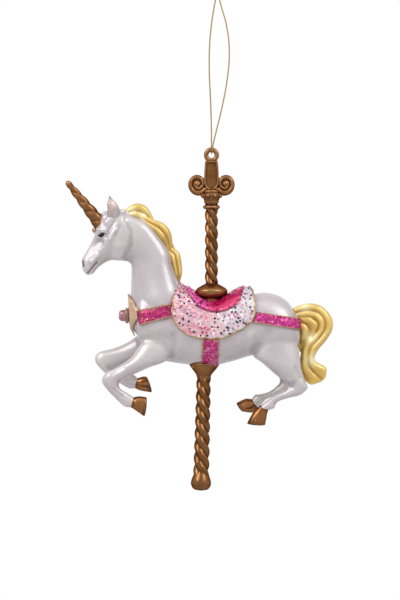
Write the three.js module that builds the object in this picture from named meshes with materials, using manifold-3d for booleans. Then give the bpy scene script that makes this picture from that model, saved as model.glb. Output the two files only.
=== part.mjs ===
// Carousel unicorn ornament: a leaping figure on a rope-twist pole, hung on a thread through its finial's eye.
// Millimetres, +Z up. The figure faces -X and its near side is -Y. The origin is the centre of the hanging eye.
import * as THREE from 'three';
import { mergeVertices } from 'three/addons/utils/BufferGeometryUtils.js';
import Module from 'manifold-3d';

const wasm = await Module();
wasm.setup();

// Gap between glued pieces, and the smallest step that a cut surface keeps
const FIT = 0.3;
const SLIVER = 0.1;

// Hanging eye and thread
const EYE_BORE = 2.7;
const EYE_WIRE = 2.05;
const THREAD_DIAMETER = 0.6;
const KNOT_DIAMETER = 2.4;
const KNOT_HEIGHT = 3;

// Finial
const BLADE_LENGTH = 13;
const BLADE_TOP_WIDTH = 5.6;
const BLADE_WIDTH = 6.6;
const BLADE_THICKNESS = 3;
const BLADE_BORDER = 0.9;
const BLADE_RECESS = 0.45;
const SCROLL_RISE = BLADE_LENGTH * 0.21;
const SCROLL_RADIUS = 3.5;
const SCROLL_OFFSET = 6.1;
const SCROLL_WIRE = 3.1;
const SCROLL_TURNS = 1.7;
const SCROLL_START = -150;
const SCROLL_BOSS = 2.8;
const BAND_DIAMETER = 7.4;
const BAND_HEIGHT = 1.5;
const FUNNEL_DIAMETER = 9.4;
const FUNNEL_HEIGHT = 4.6;
const FUNNEL_NECK = 5.8;
const FINIAL_BEAD = 1.5;
const FINIAL_BEADS = 8;

// Upper pole
const COLLAR_DIAMETER = 7.6;
const COLLAR_HEIGHT = 2.1;
const UPPER_POLE_DIAMETER = 5.9;
const UPPER_POLE_LENGTH = 32.6;
const ROPE_STRANDS = 3;
const ROPE_LEAD = 16.5;
const ROPE_GROOVE = 0.75;
const ROPE_STEPS = 9;
const FLANGE_DIAMETER = 14.4;
const FLANGE_HEIGHT = 6.7;
const FLANGE_FOOT = 8.4;
const PEG_DIAMETER = 2.6;
const PEG_BODY_DEPTH = 11;
const PEG_METAL_DEPTH = 4;

// Lower pole, which leans a little back from the belly
const LOWER_POLE_LEAN = 1.5;
const FERRULE_DIAMETER = 13;
const FERRULE_HEIGHT = 5.6;
const FERRULE_NECK = 6;
const FERRULE_ROOT = 2;
const LOWER_POLE_DIAMETER = 6.5;
const LOWER_POLE_FOOT = 7.2;
const LOWER_POLE_LENGTH = 41;
const KNOB_DIAMETER = 9;
const KNOB_LENGTH = 8.6;

// Saddle and blanket
const BLANKET_THICKNESS = 0.9;
const SADDLE_THICKNESS = 1;
const POMMEL_RISE = 8.9;
const POMMEL_REACH = 16;
const CANTLE_RISE = 6.6;
const CANTLE_REACH = 15.5;
const BLANKET_MERGE = 0.7;
const SCALLOPS = 14;
const SCALLOP_BULGE = 0.6;

// Straps and jewels
const STRAP_THICKNESS = 0.7;
const STAR_THICKNESS = 1;
const GEM_DIAMETER = 5.4;
const GEM_HEIGHT = 3.2;
const SETTING_WALL = 0.5;
const SETTING_HEIGHT = 1;
const SETTING_ROOT = 3;
const JEWEL_DIAMETER = 2.6;
const JEWEL_ROOT = 1.4;

// Horn
const HORN_LENGTH = 26;
const HORN_BASE = 7;
const HORN_TIP = 2.8;
const HORN_LEAD = 10.5;
const HORN_GROOVE = 0.45;
const HORN_TILT = -38.5;
const JEWEL_TILT = -70;

// Figure: its length from the horn's tip to the tail, and the share of it that one unit in its tables means
const FIGURE_LENGTH = 119.3;
const TABLE_UNIT = 1 / 119.3;

// Places worked out from the sizes above, down the pole from the eye
const eyeRadius = EYE_BORE / 2 + EYE_WIRE;
const bladeTop = -eyeRadius + EYE_WIRE * 0.4;
const bandTop = bladeTop - BLADE_LENGTH;
const funnelTop = bandTop - BAND_HEIGHT;
const collarTop = funnelTop - FUNNEL_HEIGHT - FIT;
const poleTop = collarTop - COLLAR_HEIGHT - FIT;
const flangeTop = poleTop - UPPER_POLE_LENGTH - FIT;
const seatLevel = flangeTop - FLANGE_HEIGHT;

// A table's number, list or set of numbers, turned into sizes on the figure
function drawn(table) {
  if (typeof table === 'number') return table * TABLE_UNIT * FIGURE_LENGTH;
  if (Array.isArray(table)) return table.map(drawn);
  return Object.fromEntries(Object.entries(table).map(([key, value]) => [key, drawn(value)]));
}

// The figure's tables below are measured from the seat: x along the figure, z up from the flange's underside.
// A rib is one cross-section of a form: [x, z] of its first edge, [x, z] of its second edge, half width, y.
const TORSO = drawn([
  [-35, 0, -34.4, -15, 5.2, 0],
  [-31, 4.5, -31.3, -21.5, 8.6, 0],
  [-22, 6, -22.5, -27, 10.3, 0],
  [-12, 1.4, -12, -29, 11.2, 0],
  [-1, -3, -1, -30, 11.6, 0],
  [10, -1.9, 10, -27.6, 11.4, 0],
  [19, 2.3, 19, -25, 11, 0],
  [27, 2.5, 27.5, -25, 10.7, 0],
  [34, -0.8, 35, -24.5, 9.4, 0],
  [38, -6, 38.6, -21.5, 6.8, 0],
]);
const NECK = drawn([
  [-33, -16, -12, -6, 9.2, 0],
  [-35.6, -6, -13.4, 4, 9.2, 0],
  [-36, 3, -15, 8.6, 7.9, 0],
  [-35.6, 13, -17.2, 15, 6.5, 0],
  [-36.2, 17.2, -18.6, 21, 5.9, 0],
  [-38.5, 20, -22, 26.6, 5.5, 0],
  [-42, 23, -28.5, 34.2, 5.1, 0],
  [-45, 27, -36, 37.6, 4.5, 0],
]);
const HEAD = drawn([
  [-36.6, 38.6, -34, 19, 4.4, 0],
  [-41.5, 39.8, -37.4, 16.8, 5.2, 0],
  [-47.6, 38.4, -41, 17, 5.5, 0],
  [-51.4, 33.4, -44.6, 17.2, 5.1, 0],
  [-53, 26.8, -47.8, 15.8, 4.2, 0],
  [-55.6, 21.4, -50.6, 13.6, 3.3, 0],
  [-58, 17, -52.8, 11, 3.1, 0],
  [-57.8, 14, -54.6, 10.8, 2.4, 0],
]);
const CHEEK = drawn([
  [-46.6, 30.2, -36.4, 27.6, 4.9, 0],
  [-48.2, 24.6, -35.2, 23.4, 5.6, 0],
  [-46.6, 18.6, -37.6, 17.8, 4.6, 0],
]);
const EAR = drawn([
  [-46.3, 35.4, -40.6, 35.4, 1.8, -2.2],
  [-46.2, 39.6, -40.8, 39.4, 1.8, -3],
  [-46.1, 42.2, -41.9, 42.1, 1.4, -3.4],
  [-45.8, 44.1, -43.7, 44, 0.8, -3.6],
  [-45.4, 45.4, -44.9, 45.4, 0.35, -3.7],
]);

// Legs run from inside the body to the hoof: first edge is the front of the leg, second the back.
const LEGS = drawn({
  near_foreleg: [
    [-27, -14, -15, -20, 3.8, -5.5],
    [-32, -20.8, -20, -27.6, 4.4, -6.8],
    [-35.8, -26, -28.5, -31, 3.9, -7.2],
    [-41.8, -30, -35.6, -34.2, 3.3, -7.2],
    [-46.8, -32.6, -40.6, -36.8, 3, -7.2],
    [-48.7, -36.6, -40.9, -38.4, 2.8, -7.2],
    [-46.2, -40.6, -39.9, -39.8, 2.4, -7.2],
    [-42, -44.7, -37.6, -41.4, 2, -7.2],
    [-38.4, -47.8, -35.4, -43, 2.3, -7.2],
    [-34.9, -48.2, -34.1, -43.7, 2.1, -7.2],
  ],
  far_foreleg: [
    [-27, -10, -17, -19, 3.8, 5.5],
    [-34, -17, -24, -27, 4.4, 6.8],
    [-39.5, -20.4, -33, -30, 3.8, 7.2],
    [-45, -22.4, -40.2, -31.6, 3.2, 7.2],
    [-50.4, -23.8, -44, -32.4, 3, 7.2],
    [-52.4, -27.6, -44.4, -32.6, 2.8, 7.2],
    [-49.4, -32, -43, -32.6, 2.4, 7.2],
    [-43, -36.4, -39.4, -32.6, 2, 7.2],
    [-37, -40, -34.6, -34, 2.3, 7.2],
    [-33.4, -40, -32.6, -35.4, 2.1, 7.2],
  ],
  near_hind_leg: [
    [20, -12, 36, -12, 4, -5],
    [18.8, -24.6, 39, -24, 5.2, -6],
    [24, -29.8, 39.8, -30.5, 4.5, -6.2],
    [30, -35.3, 41.4, -35.8, 3.3, -6.1],
    [33.6, -38, 42.8, -39.4, 2.7, -6],
    [33, -40, 39.2, -43, 2.4, -6],
    [30, -41.7, 33, -44.5, 1.9, -6],
    [26.5, -43.6, 28.9, -46, 1.9, -6],
    [24, -45.4, 28, -48.5, 2.4, -6],
    [20.6, -48, 24.8, -49.9, 2.2, -6],
  ],
  far_hind_leg: [
    [20, -12, 36, -12, 4, 5],
    [18.2, -24.6, 38.4, -24, 5.2, 6],
    [23.4, -29.8, 39, -30.5, 4.5, 6.2],
    [28.8, -34.6, 40, -35.4, 3.3, 6.1],
    [30.8, -36.6, 40.6, -38.8, 2.7, 6],
    [29, -38.8, 35.8, -42, 2.4, 6],
    [26.4, -41, 29.2, -43.6, 1.9, 6],
    [22.4, -42.3, 24.4, -45, 1.9, 6],
    [19.6, -42.6, 22.4, -47.6, 2.4, 6],
    [17.6, -44.8, 20.2, -49.2, 2.2, 6],
  ],
});

// Hooves run from inside the leg's end to the sole.
const HOOVES = drawn({
  near_fore_hoof: [
    [-36, -47.8, -35, -43.9, 1.9, -7.2],
    [-33.6, -49.2, -32.4, -43.4, 2.5, -7.2],
    [-29.2, -52.4, -28.3, -43.7, 2.9, -7.2],
  ],
  far_fore_hoof: [
    [-34.6, -39.6, -33.8, -35.8, 1.9, 7.2],
    [-31.6, -40.8, -31, -35, 2.5, 7.2],
    [-26, -41.8, -28.8, -34.8, 2.9, 7.2],
  ],
  near_hind_hoof: [
    [21.6, -47.2, 25.2, -49, 1.9, -6],
    [18.6, -50.4, 24.4, -51.4, 2.5, -6],
    [15.4, -56, 23.6, -56.6, 2.9, -6],
  ],
  far_hind_hoof: [
    [18.8, -45, 21, -48.6, 1.9, 6],
    [15.4, -44.8, 18.4, -50.6, 2.5, 6],
    [10.7, -46.8, 13.2, -50.2, 2.7, 6],
  ],
});
const HOOF_OF_LEG = {
  near_fore_hoof: 'near_foreleg',
  far_fore_hoof: 'far_foreleg',
  near_hind_hoof: 'near_hind_leg',
  far_hind_hoof: 'far_hind_leg',
};

// Mane and tail are bundles of locks: first edge is the outer outline, second lies on the crest or inner curl.
const MANE = drawn([
  [
    [-39.4, 38.6, -37, 36.4, 1.5, 0],
    [-37.2, 40.8, -35, 36.2, 2.2, 0],
    [-32.9, 42.6, -32.6, 35.4, 2.6, 0],
    [-28.8, 41, -29.8, 34, 2.4, 0],
    [-26, 36.6, -27.4, 33, 1.4, 0],
  ],
  [
    [-31, 38.2, -31.5, 34, 1.6, -0.5],
    [-26.4, 35.6, -28, 31.8, 2.2, -0.7],
    [-21.8, 34, -25, 29, 2.6, -0.7],
    [-18.4, 30.4, -22.6, 25.8, 2.5, -0.6],
    [-17.3, 25.6, -20.4, 22.8, 2, -0.5],
    [-17.6, 22, -19.6, 20.8, 1.2, -0.3],
  ],
  [
    [-24.6, 31, -26, 27.6, 1.6, 0.6],
    [-20, 28.8, -22.8, 25.4, 2.2, 0.8],
    [-16.6, 23.6, -20.2, 21.4, 2.2, 0.7],
    [-15.8, 18.4, -18.6, 17.6, 1.4, 0.4],
  ],
  [
    [-18.8, 23.4, -20.6, 21, 1.5, 0],
    [-14.5, 20.9, -18.8, 18.6, 2.3, 0],
    [-13.3, 17, -17.8, 15.4, 2.5, 0],
    [-12.9, 12, -16.8, 11.4, 2.1, 0],
    [-13.8, 8.2, -15.6, 8.6, 1.2, 0],
  ],
]);
const TAIL = drawn([
  [
    [36.6, -3.8, 37.6, -9, 2.2, 0],
    [42.8, -1.9, 42.6, -8.4, 2.8, 0],
    [49, -3.2, 45.6, -9, 3.1, 0],
    [53.4, -8, 47, -11, 3.2, 0],
    [54.1, -13, 46.6, -14.2, 3.2, 0],
    [51.4, -18.2, 44.6, -16.6, 3.1, 0],
    [47.8, -22.4, 40.8, -20.2, 3, 0],
    [46, -26, 39.6, -25.2, 2.9, 0],
    [46.8, -28, 39.2, -31, 2.8, 0],
    [49.6, -29.4, 40.8, -35.6, 2.6, 0],
    [51.4, -31, 44, -38.2, 2.1, 0],
    [51, -34.2, 47.6, -37.4, 1.2, 0],
  ],
  [
    [38.6, -7, 38, -13.4, 2.2, 0],
    [44, -7.6, 40.8, -14.6, 2.6, 0],
    [48, -11, 41.4, -16.8, 2.7, 0],
    [46.6, -15.8, 40.6, -18.6, 2, 0],
  ],
  [
    [47.4, -15.2, 46.6, -19, 2.2, 0],
    [42.4, -16.2, 42.6, -22.2, 2.3, 0],
    [39.8, -19.6, 40.6, -22.8, 1.2, 0],
  ],
]);

// Side outlines of the tack, x and z from the seat
const BLANKET_CORNERS = drawn([
  [-16.6, 2.4], [-17.2, -8.6], [-10.6, -16], [-2.6, -17.4], [5.4, -17.2], [12.2, -13.8], [18.4, -9.4],
  [19.3, -1], [17.4, 5.4],
]);
const SADDLE_EDGE = drawn([
  [-12.6, 7], [-9.8, 2.6], [-6, -2.4], [-0.3, -5.2], [6, -4.8], [11.6, -1.4], [14.6, 6.4],
]);
const BREAST_STRAP = drawn([[-33, -5.2], [-24, -3.6], [-13, -1], [-13, -6.6], [-24, -9.6], [-32, -11.8]]);
const REAR_STRAP = drawn([[17, -5.4], [28, -7], [44, -9.4], [44, -14.2], [28, -12], [17, -10]]);
const GIRTH = drawn([[-3.7, -14], [3.6, -14], [2.6, -34], [-4.7, -34]]);
const STAR_POINTS = drawn({ front: -42, top: 2.2, bottom: -16.8, middle: -7, reach: 10, waist: 5 });
const SEAT_RIBS = { first: 1.6, last: 6.6 };
const SADDLE_TOP = drawn(6.1);
const TACK_TOP = drawn(14);
const HALF_SPAN = drawn(20);

const GEM_PLACE = drawn({ x: -37.2, z: -7.4 });
const JEWEL_PLACE = drawn({ x: -52, z: 30.6 });
const HORN_ROOT = drawn({ x: -48.3, z: 32 });
const LOWER_POLE_PLACE = drawn({ x: -3.3, z: -29.6 });
const BLANKET_MIDDLE = drawn({ x: 1, z: -4 });

// Route of the thread from its knot, down behind the eye, through it and up in front
const THREAD_ROUTE = [
  [2.3, 0.1, 71.2], [1.2, 0.5, 66], [0.1, 0.9, 59], [-0.7, 1.2, 51], [-1, 1.4, 43], [-0.9, 1.55, 35],
  [-0.5, 1.65, 27], [-0.2, 1.7, 19], [-0.05, 1.7, 12], [0, 1.7, 7], [0.05, 1.7, 4], [0.05, 1.68, 2.6],
  [0.06, 1.4, 1.45], [0.08, 0.8, 0.85], [0.1, 0, 0.66], [0.15, -0.8, 0.85], [0.22, -1.4, 1.45],
  [0.35, -1.68, 2.6], [0.6, -1.7, 4], [1.25, -1.7, 7], [2.5, -1.65, 12], [4.2, -1.55, 19], [5.9, -1.4, 27],
  [7.2, -1.25, 35], [7.9, -1.1, 43], [7.7, -0.9, 51], [6.4, -0.6, 59], [4.4, -0.3, 66], [3.1, -0.1, 71.2],
];
const KNOT_PLACE = { x: 2.7, z: 71.5 };

const ornament = new THREE.Group();
const figure = new THREE.Group();
figure.position.z = seatLevel;
ornament.add(figure);

// Materials
function finish(color, roughness, metalness) {
  return new THREE.MeshStandardMaterial({ color, roughness, metalness });
}
const bronze = () => finish(0x8a5a2c, 0.32, 0.9);
const pearl = () => finish(0xeae4e8, 0.25, 0);
const gold = () => finish(0xe0b64c, 0.35, 0.5);
const pinkGlitter = () => finish(0xc81e78, 0.4, 0.2);
const paleGlitter = () => finish(0xf4cfd8, 0.45, 0.1);
const roseGold = () => finish(0xd8b090, 0.3, 0.8);
const gemPink = () => finish(0xd8709c, 0.1, 0);
const goldThread = () => finish(0xb89a50, 0.4, 0.7);
const steel = () => finish(0x9a9a98, 0.4, 0.9);

// A closed geometry becomes a solid that can be joined and cut, with its faces pointing out.
function solid(geometry) {
  const bare = geometry.clone();
  bare.deleteAttribute('normal');
  bare.deleteAttribute('uv');
  const merged = mergeVertices(bare, 1e-4);
  const corners = [];
  const [a, b, c] = [new THREE.Vector3(), new THREE.Vector3(), new THREE.Vector3()];
  let volume = 0;
  for (let i = 0; i < merged.index.count; i += 3) {
    const [p, q, r] = [0, 1, 2].map((k) => merged.index.getX(i + k));
    if (p === q || q === r || r === p) continue;
    corners.push(p, q, r);
    a.fromBufferAttribute(merged.attributes.position, p);
    b.fromBufferAttribute(merged.attributes.position, q);
    c.fromBufferAttribute(merged.attributes.position, r);
    volume += a.dot(b.cross(c));
  }
  if (volume < 0) corners.reverse();
  return new wasm.Manifold(new wasm.Mesh({
    numProp: 3,
    vertProperties: new Float32Array(merged.attributes.position.array),
    triVerts: new Uint32Array(corners),
  }));
}

// The largest piece that a cut leaves, without the slivers beside it
function mainPiece(body) {
  return body.decompose().sort((a, b) => b.volume() - a.volume())[0];
}

function addPart(parent, name, body, material) {
  const mesh = mainPiece(body).simplify(SLIVER).getMesh();
  const geometry = new THREE.BufferGeometry();
  geometry.setAttribute('position', new THREE.BufferAttribute(new Float32Array(mesh.vertProperties), 3));
  geometry.setIndex(new THREE.BufferAttribute(new Uint32Array(mesh.triVerts), 1));
  geometry.computeVertexNormals();
  const part = new THREE.Mesh(geometry, material);
  part.name = name;
  parent.add(part);
}

function joined(bodies) {
  return bodies.reduce((whole, body) => whole.add(body));
}

// A closed geometry through rings of equal count, with a fan over each end
function loftRings(rings) {
  const count = rings[0].length;
  const points = rings.flat();
  const index = [];
  for (let k = 0; k + 1 < rings.length; k += 1) {
    for (let i = 0; i < count; i += 1) {
      const here = k * count + i;
      const next = k * count + ((i + 1) % count);
      index.push(here, next, here + count, next, next + count, here + count);
    }
  }
  [0, rings.length - 1].forEach((k) => {
    const centre = rings[k].reduce((sum, p) => sum.add(p), new THREE.Vector3()).divideScalar(count);
    points.push(centre);
    for (let i = 0; i < count; i += 1) {
      const edge = [k * count + i, k * count + ((i + 1) % count)];
      index.push(points.length - 1, ...(k === 0 ? edge.reverse() : edge));
    }
  });
  const geometry = new THREE.BufferGeometry().setFromPoints(points);
  geometry.setIndex(index);
  return geometry;
}

// A row of numbers part-way between the rows of a table, on a smooth curve through them
function between(rows, t) {
  const last = rows.length - 1;
  const i = Math.min(Math.floor(t), last - 1);
  const f = t - i;
  const around = [-1, 0, 1, 2].map((k) => rows[Math.min(Math.max(i + k, 0), last)]);
  return rows[0].map((_, n) => {
    const [p, q, r, s] = around.map((row) => row[n]);
    const [m, o] = [(r - p) / 2, (s - q) / 2];
    return q + f * m + f * f * (3 * (r - q) - 2 * m - o) + f * f * f * (2 * (q - r) + m + o);
  });
}

// One ring of a ribbed form: a rounded section between the rib's two edges, widened by grow.
function ribRing([ax, az, bx, bz, half, y], { sides, grow, egg }) {
  const centre = new THREE.Vector3((ax + bx) / 2, y, (az + bz) / 2);
  const reach = new THREE.Vector3(ax - bx, 0, az - bz).divideScalar(2);
  reach.setLength(reach.length() + grow);
  return Array.from({ length: sides }, (_, i) => {
    const angle = (i / sides) * 2 * Math.PI;
    const across = (half + grow) * Math.sin(angle) * (1 - egg * Math.cos(angle));
    return centre.clone().addScaledVector(reach, Math.cos(angle)).add(new THREE.Vector3(0, across, 0));
  });
}

// A form lofted through ribs, with domed ends of the given lengths (0 leaves an end flat)
function ribLoft(ribs, { per = 2, sides = 18, grow = 0, caps = [1, 1], egg = 0 } = {}) {
  const steps = (ribs.length - 1) * per;
  const rings = [];
  for (let k = 0; k <= steps; k += 1) rings.push(ribRing(between(ribs, k / per), { sides, grow, egg }));
  const middle = (ring) => ring.reduce((sum, p) => sum.add(p), new THREE.Vector3()).divideScalar(ring.length);
  const dome = (ring, inner, length) => {
    const centre = middle(ring);
    const out = centre.clone().sub(middle(inner)).normalize();
    return [40, 75].map((degrees) => {
      const turn = THREE.MathUtils.degToRad(degrees);
      return ring.map((p) => p.clone().sub(centre).multiplyScalar(Math.cos(turn)).add(centre)
        .addScaledVector(out, (length + grow) * Math.sin(turn)));
    });
  };
  const first = caps[0] + grow > 0 ? dome(rings[0], rings[1], caps[0]).reverse() : [];
  const last = caps[1] + grow > 0 ? dome(rings[steps], rings[steps - 1], caps[1]) : [];
  return solid(loftRings([...first, ...rings, ...last]));
}

// A solid of revolution about the Z axis from [radius, z] points
function turned(profile, segments = 16) {
  const points = profile.map(([r, z]) => new THREE.Vector2(r, z));
  return new THREE.LatheGeometry(points, segments).rotateX(Math.PI / 2);
}

// Points on a smooth curve through a few [radius, z] points
function smooth(points, count = 10) {
  const curve = new THREE.SplineCurve(points.map(([r, z]) => new THREE.Vector2(r, z)));
  return curve.getPoints(count).map((p) => [Math.max(p.x, 0), p.y]);
}

// A flat outline in x and z, thickened along Y
function sidePlate(shape, yMin, yMax) {
  const plate = new THREE.ExtrudeGeometry(shape, { depth: yMax - yMin, bevelEnabled: false, curveSegments: 3 });
  return plate.rotateX(Math.PI / 2).translate(0, yMax, 0);
}

function polygon(points) {
  return new THREE.Shape(points.map(([x, z]) => new THREE.Vector2(x, z)));
}

// A rope-twist pole from z = 0 down, with its strands laid left-handed
function ropeTwist(length, topDiameter, footDiameter, { strands, lead, groove, sides }) {
  const steps = Math.ceil((length / lead) * ROPE_STEPS);
  const rings = [];
  for (let k = 0; k <= steps; k += 1) {
    const along = k / steps;
    const radius = THREE.MathUtils.lerp(topDiameter, footDiameter, along) / 2;
    const twist = (along * length / lead) * 2 * Math.PI;
    rings.push(Array.from({ length: sides }, (_, i) => {
      const angle = (i / sides) * 2 * Math.PI;
      const lobe = Math.abs(Math.cos((strands * angle) / 2));
      const r = radius - groove * (1 - lobe);
      return new THREE.Vector3(r * Math.cos(angle + twist), r * Math.sin(angle + twist), -along * length);
    }));
  }
  return solid(loftRings(rings));
}

function peg(top, length, grow = 0) {
  const r = PEG_DIAMETER / 2 + grow;
  const [high, low] = [top + grow, top - length - grow];
  return solid(turned([[0, low], [r, low], [r, high], [0, high]], 16));
}

// Hanger
function hangerThread() {
  const route = new THREE.CatmullRomCurve3(THREAD_ROUTE.map((p) => new THREE.Vector3(...p)));
  // Steps follow the route's points, which lie closer together in the bend through the eye.
  route.getUtoTmapping = (u) => u;
  const section = new THREE.Shape().absarc(0, 0, THREAD_DIAMETER / 2, 0, 2 * Math.PI);
  const steps = (THREAD_ROUTE.length - 1) * 2;
  return solid(new THREE.ExtrudeGeometry(section, { steps, curveSegments: 3, extrudePath: route }));
}

function threadKnot() {
  const [r, top] = [KNOT_DIAMETER / 2, KNOT_HEIGHT];
  const lower = [[0, 0], [r * 0.8, top * 0.12], [r, top * 0.4]];
  const upper = [[r * 0.72, top * 0.62], [r * 0.8, top * 0.82], [0, top]];
  const profile = smooth([...lower, ...upper], 8);
  return solid(turned(profile, 10)).translate([KNOT_PLACE.x, 0, KNOT_PLACE.z]);
}

// Finial
function hangingEye(grow = 0) {
  const ring = new THREE.TorusGeometry(eyeRadius - EYE_WIRE / 2, EYE_WIRE / 2 + grow, 8, 20);
  return solid(ring.rotateX(Math.PI / 2));
}

function finialBlade() {
  const outline = (inset) => {
    const [top, half] = [BLADE_TOP_WIDTH / 2 - inset, BLADE_WIDTH / 2 - inset];
    const shoulder = bladeTop - BLADE_LENGTH * 0.66;
    const shape = new THREE.Shape();
    shape.moveTo(-top, bladeTop - inset);
    shape.quadraticCurveTo(-half, bladeTop - BLADE_LENGTH * 0.35, -half, shoulder);
    shape.quadraticCurveTo(-half, bandTop + inset, 0, bandTop - BAND_HEIGHT / 2 + inset * 1.5);
    shape.quadraticCurveTo(half, bandTop + inset, half, shoulder);
    shape.quadraticCurveTo(half, bladeTop - BLADE_LENGTH * 0.35, top, bladeTop - inset);
    return shape;
  };
  const face = BLADE_THICKNESS / 2;
  const panel = outline(BLADE_BORDER);
  return solid(sidePlate(outline(0), -face, face))
    .subtract(solid(sidePlate(panel, -face - 1, -face + BLADE_RECESS)))
    .subtract(solid(sidePlate(panel, face - BLADE_RECESS, face + 1)));
}

// A scroll springs from the band, rises beside the blade and curls in round a boss.
function finialScroll(side) {
  const count = 20;
  const centre = { x: SCROLL_OFFSET, z: bandTop + SCROLL_RISE };
  const ribs = Array.from({ length: count }, (_, k) => {
    const f = k / (count - 1);
    const angle = THREE.MathUtils.degToRad(SCROLL_START) + f * SCROLL_TURNS * 2 * Math.PI;
    const radius = SCROLL_RADIUS * (1.12 - 0.88 * f);
    const wire = (SCROLL_WIRE / 2) * (1 - 0.5 * f);
    const edge = (r) => [side * (centre.x + r * Math.cos(angle)), centre.z + r * 1.1 * Math.sin(angle)];
    return [...edge(radius + wire * 0.8), ...edge(radius - wire * 0.8), wire * 1.1, 0];
  });
  const boss = new THREE.SphereGeometry(SCROLL_BOSS / 2, 6, 5).translate(side * centre.x, 0, centre.z);
  return ribLoft(ribs, { per: 1, sides: 6, caps: [0.5, 0.5] }).add(solid(boss));
}

function finial() {
  const funnelFoot = funnelTop - FUNNEL_HEIGHT;
  const band = turned([[0, funnelTop - 0.4], ...smooth([[BAND_DIAMETER / 2 - 0.6, funnelTop - 0.4],
    [BAND_DIAMETER / 2, (funnelTop + bandTop) / 2], [BAND_DIAMETER / 2 - 0.6, bandTop]], 4), [0, bandTop]]);
  const funnel = turned([[0, funnelFoot], ...smooth([[FUNNEL_NECK / 2, funnelFoot],
    [FUNNEL_NECK / 2 + 0.5, funnelFoot + FUNNEL_HEIGHT * 0.4],
    [FUNNEL_DIAMETER / 2, funnelTop - 0.5], [FUNNEL_DIAMETER / 2 - 0.7, funnelTop]], 6), [0, funnelTop]]);
  const beads = Array.from({ length: FINIAL_BEADS }, (_, i) => {
    const angle = ((i + 0.5) / FINIAL_BEADS) * 2 * Math.PI;
    const reach = FUNNEL_DIAMETER / 2 - FINIAL_BEAD * 0.25;
    const bead = new THREE.SphereGeometry(FINIAL_BEAD / 2, 6, 4).rotateX(Math.PI / 2);
    const level = funnelTop - FINIAL_BEAD * 0.6;
    return solid(bead.translate(reach * Math.cos(angle), reach * Math.sin(angle), level));
  });
  const scrolls = [finialScroll(-1), finialScroll(1)];
  return joined([finialBlade(), solid(band), solid(funnel), ...scrolls, ...beads]).subtract(hangingEye(FIT));
}

function poleCollar() {
  const [r, z] = [COLLAR_DIAMETER / 2, collarTop - COLLAR_HEIGHT];
  return solid(turned([[0, z], ...smooth([[r * 0.78, z], [r, z + COLLAR_HEIGHT / 2], [r * 0.78, collarTop]], 6),
    [0, collarTop]]));
}

function upperPole() {
  const rope = { strands: ROPE_STRANDS, lead: ROPE_LEAD, groove: ROPE_GROOVE, sides: ROPE_STRANDS * 4 };
  const pole = ropeTwist(UPPER_POLE_LENGTH, UPPER_POLE_DIAMETER, UPPER_POLE_DIAMETER, rope);
  return pole.translate([0, 0, poleTop]);
}

// The flange is a bun on the saddle seat, drawn up to the pole. It is measured from the seat.
function upperFlange(grow = 0) {
  const [r, foot, height] = [FLANGE_DIAMETER / 2 + grow, FLANGE_FOOT / 2 + grow, FLANGE_HEIGHT];
  const curve = smooth([[foot, -grow], [r * 0.93, height * 0.26], [r, height * 0.5], [r * 0.9, height * 0.68],
    [r * 0.68, height * 0.84], [UPPER_POLE_DIAMETER / 2 + grow, height + grow]], 9);
  return solid(turned([[0, -grow], ...curve, [0, height + grow]]));
}

const upperPeg = (grow = 0) => peg(PEG_METAL_DEPTH, PEG_METAL_DEPTH + PEG_BODY_DEPTH, grow);

// Lower pole: its own frame hangs from the belly, leaning with the pole.
function onLowerPole(body) {
  return body.rotate([0, LOWER_POLE_LEAN, 0]).translate([LOWER_POLE_PLACE.x, 0, LOWER_POLE_PLACE.z]);
}

function lowerFerrule(grow = 0) {
  const [r, neck, low] = [FERRULE_DIAMETER / 2 + grow, FERRULE_NECK / 2 + grow, -FERRULE_HEIGHT];
  const curve = smooth([[neck, low], [neck + 0.5, low * 0.72], [r * 0.86, low * 0.24], [r, 0]], 8);
  const above = FERRULE_ROOT + grow;
  return onLowerPole(solid(turned([[0, low], ...curve, [r, above], [0, above]])));
}

const lowerPeg = (grow = 0) => onLowerPole(peg(PEG_BODY_DEPTH, PEG_BODY_DEPTH + PEG_METAL_DEPTH, grow));

function lowerPole() {
  const rope = { strands: ROPE_STRANDS, lead: ROPE_LEAD, groove: ROPE_GROOVE, sides: ROPE_STRANDS * 4 };
  const pole = ropeTwist(LOWER_POLE_LENGTH, LOWER_POLE_DIAMETER, LOWER_POLE_FOOT, rope);
  return onLowerPole(pole.translate([0, 0, -FERRULE_HEIGHT - FIT]));
}

function poleKnob() {
  const [r, top] = [KNOB_DIAMETER / 2, -FERRULE_HEIGHT - LOWER_POLE_LENGTH - 2 * FIT];
  const low = top - KNOB_LENGTH;
  const curve = smooth([[0, low], [r * 0.7, low + KNOB_LENGTH * 0.08], [r, low + KNOB_LENGTH * 0.36],
    [r * 0.86, low + KNOB_LENGTH * 0.7], [LOWER_POLE_FOOT / 2 - ROPE_GROOVE / 2, top]], 10);
  return onLowerPole(solid(turned([...curve, [0, top]])));
}

// Figure
const torso = (grow = 0) => ribLoft(TORSO, { sides: 18, grow, caps: [1.4, 1.4], egg: 0.1 });
const neck = (grow = 0) => ribLoft(NECK, { sides: 16, grow, egg: 0.25 });

const cheeks = (grow) => ribLoft(CHEEK, { sides: 12, grow, caps: [1.2, 1.2] });
const head = (grow = 0) => ribLoft(HEAD, { sides: 14, grow, caps: [1, 0.9] }).add(cheeks(grow));
const trunk = (grow = 0) => torso(grow).add(neck(grow));
const figureForm = (grow = 0) => trunk(grow).add(head(grow));

function ears() {
  const ear = ribLoft(EAR, { sides: 10, caps: [0.5, 0.4] });
  return ear.add(ear.mirror([0, 1, 0]));
}

function horseBody() {
  return figureForm().add(ears()).subtract(upperPeg(FIT)).subtract(lowerPeg(FIT));
}

const leg = (name, grow = 0) => ribLoft(LEGS[name], { sides: 9, grow, caps: [1, 0] });
const hoof = (name) => ribLoft(HOOVES[name], { sides: 10, caps: [0, 0] });

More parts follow.
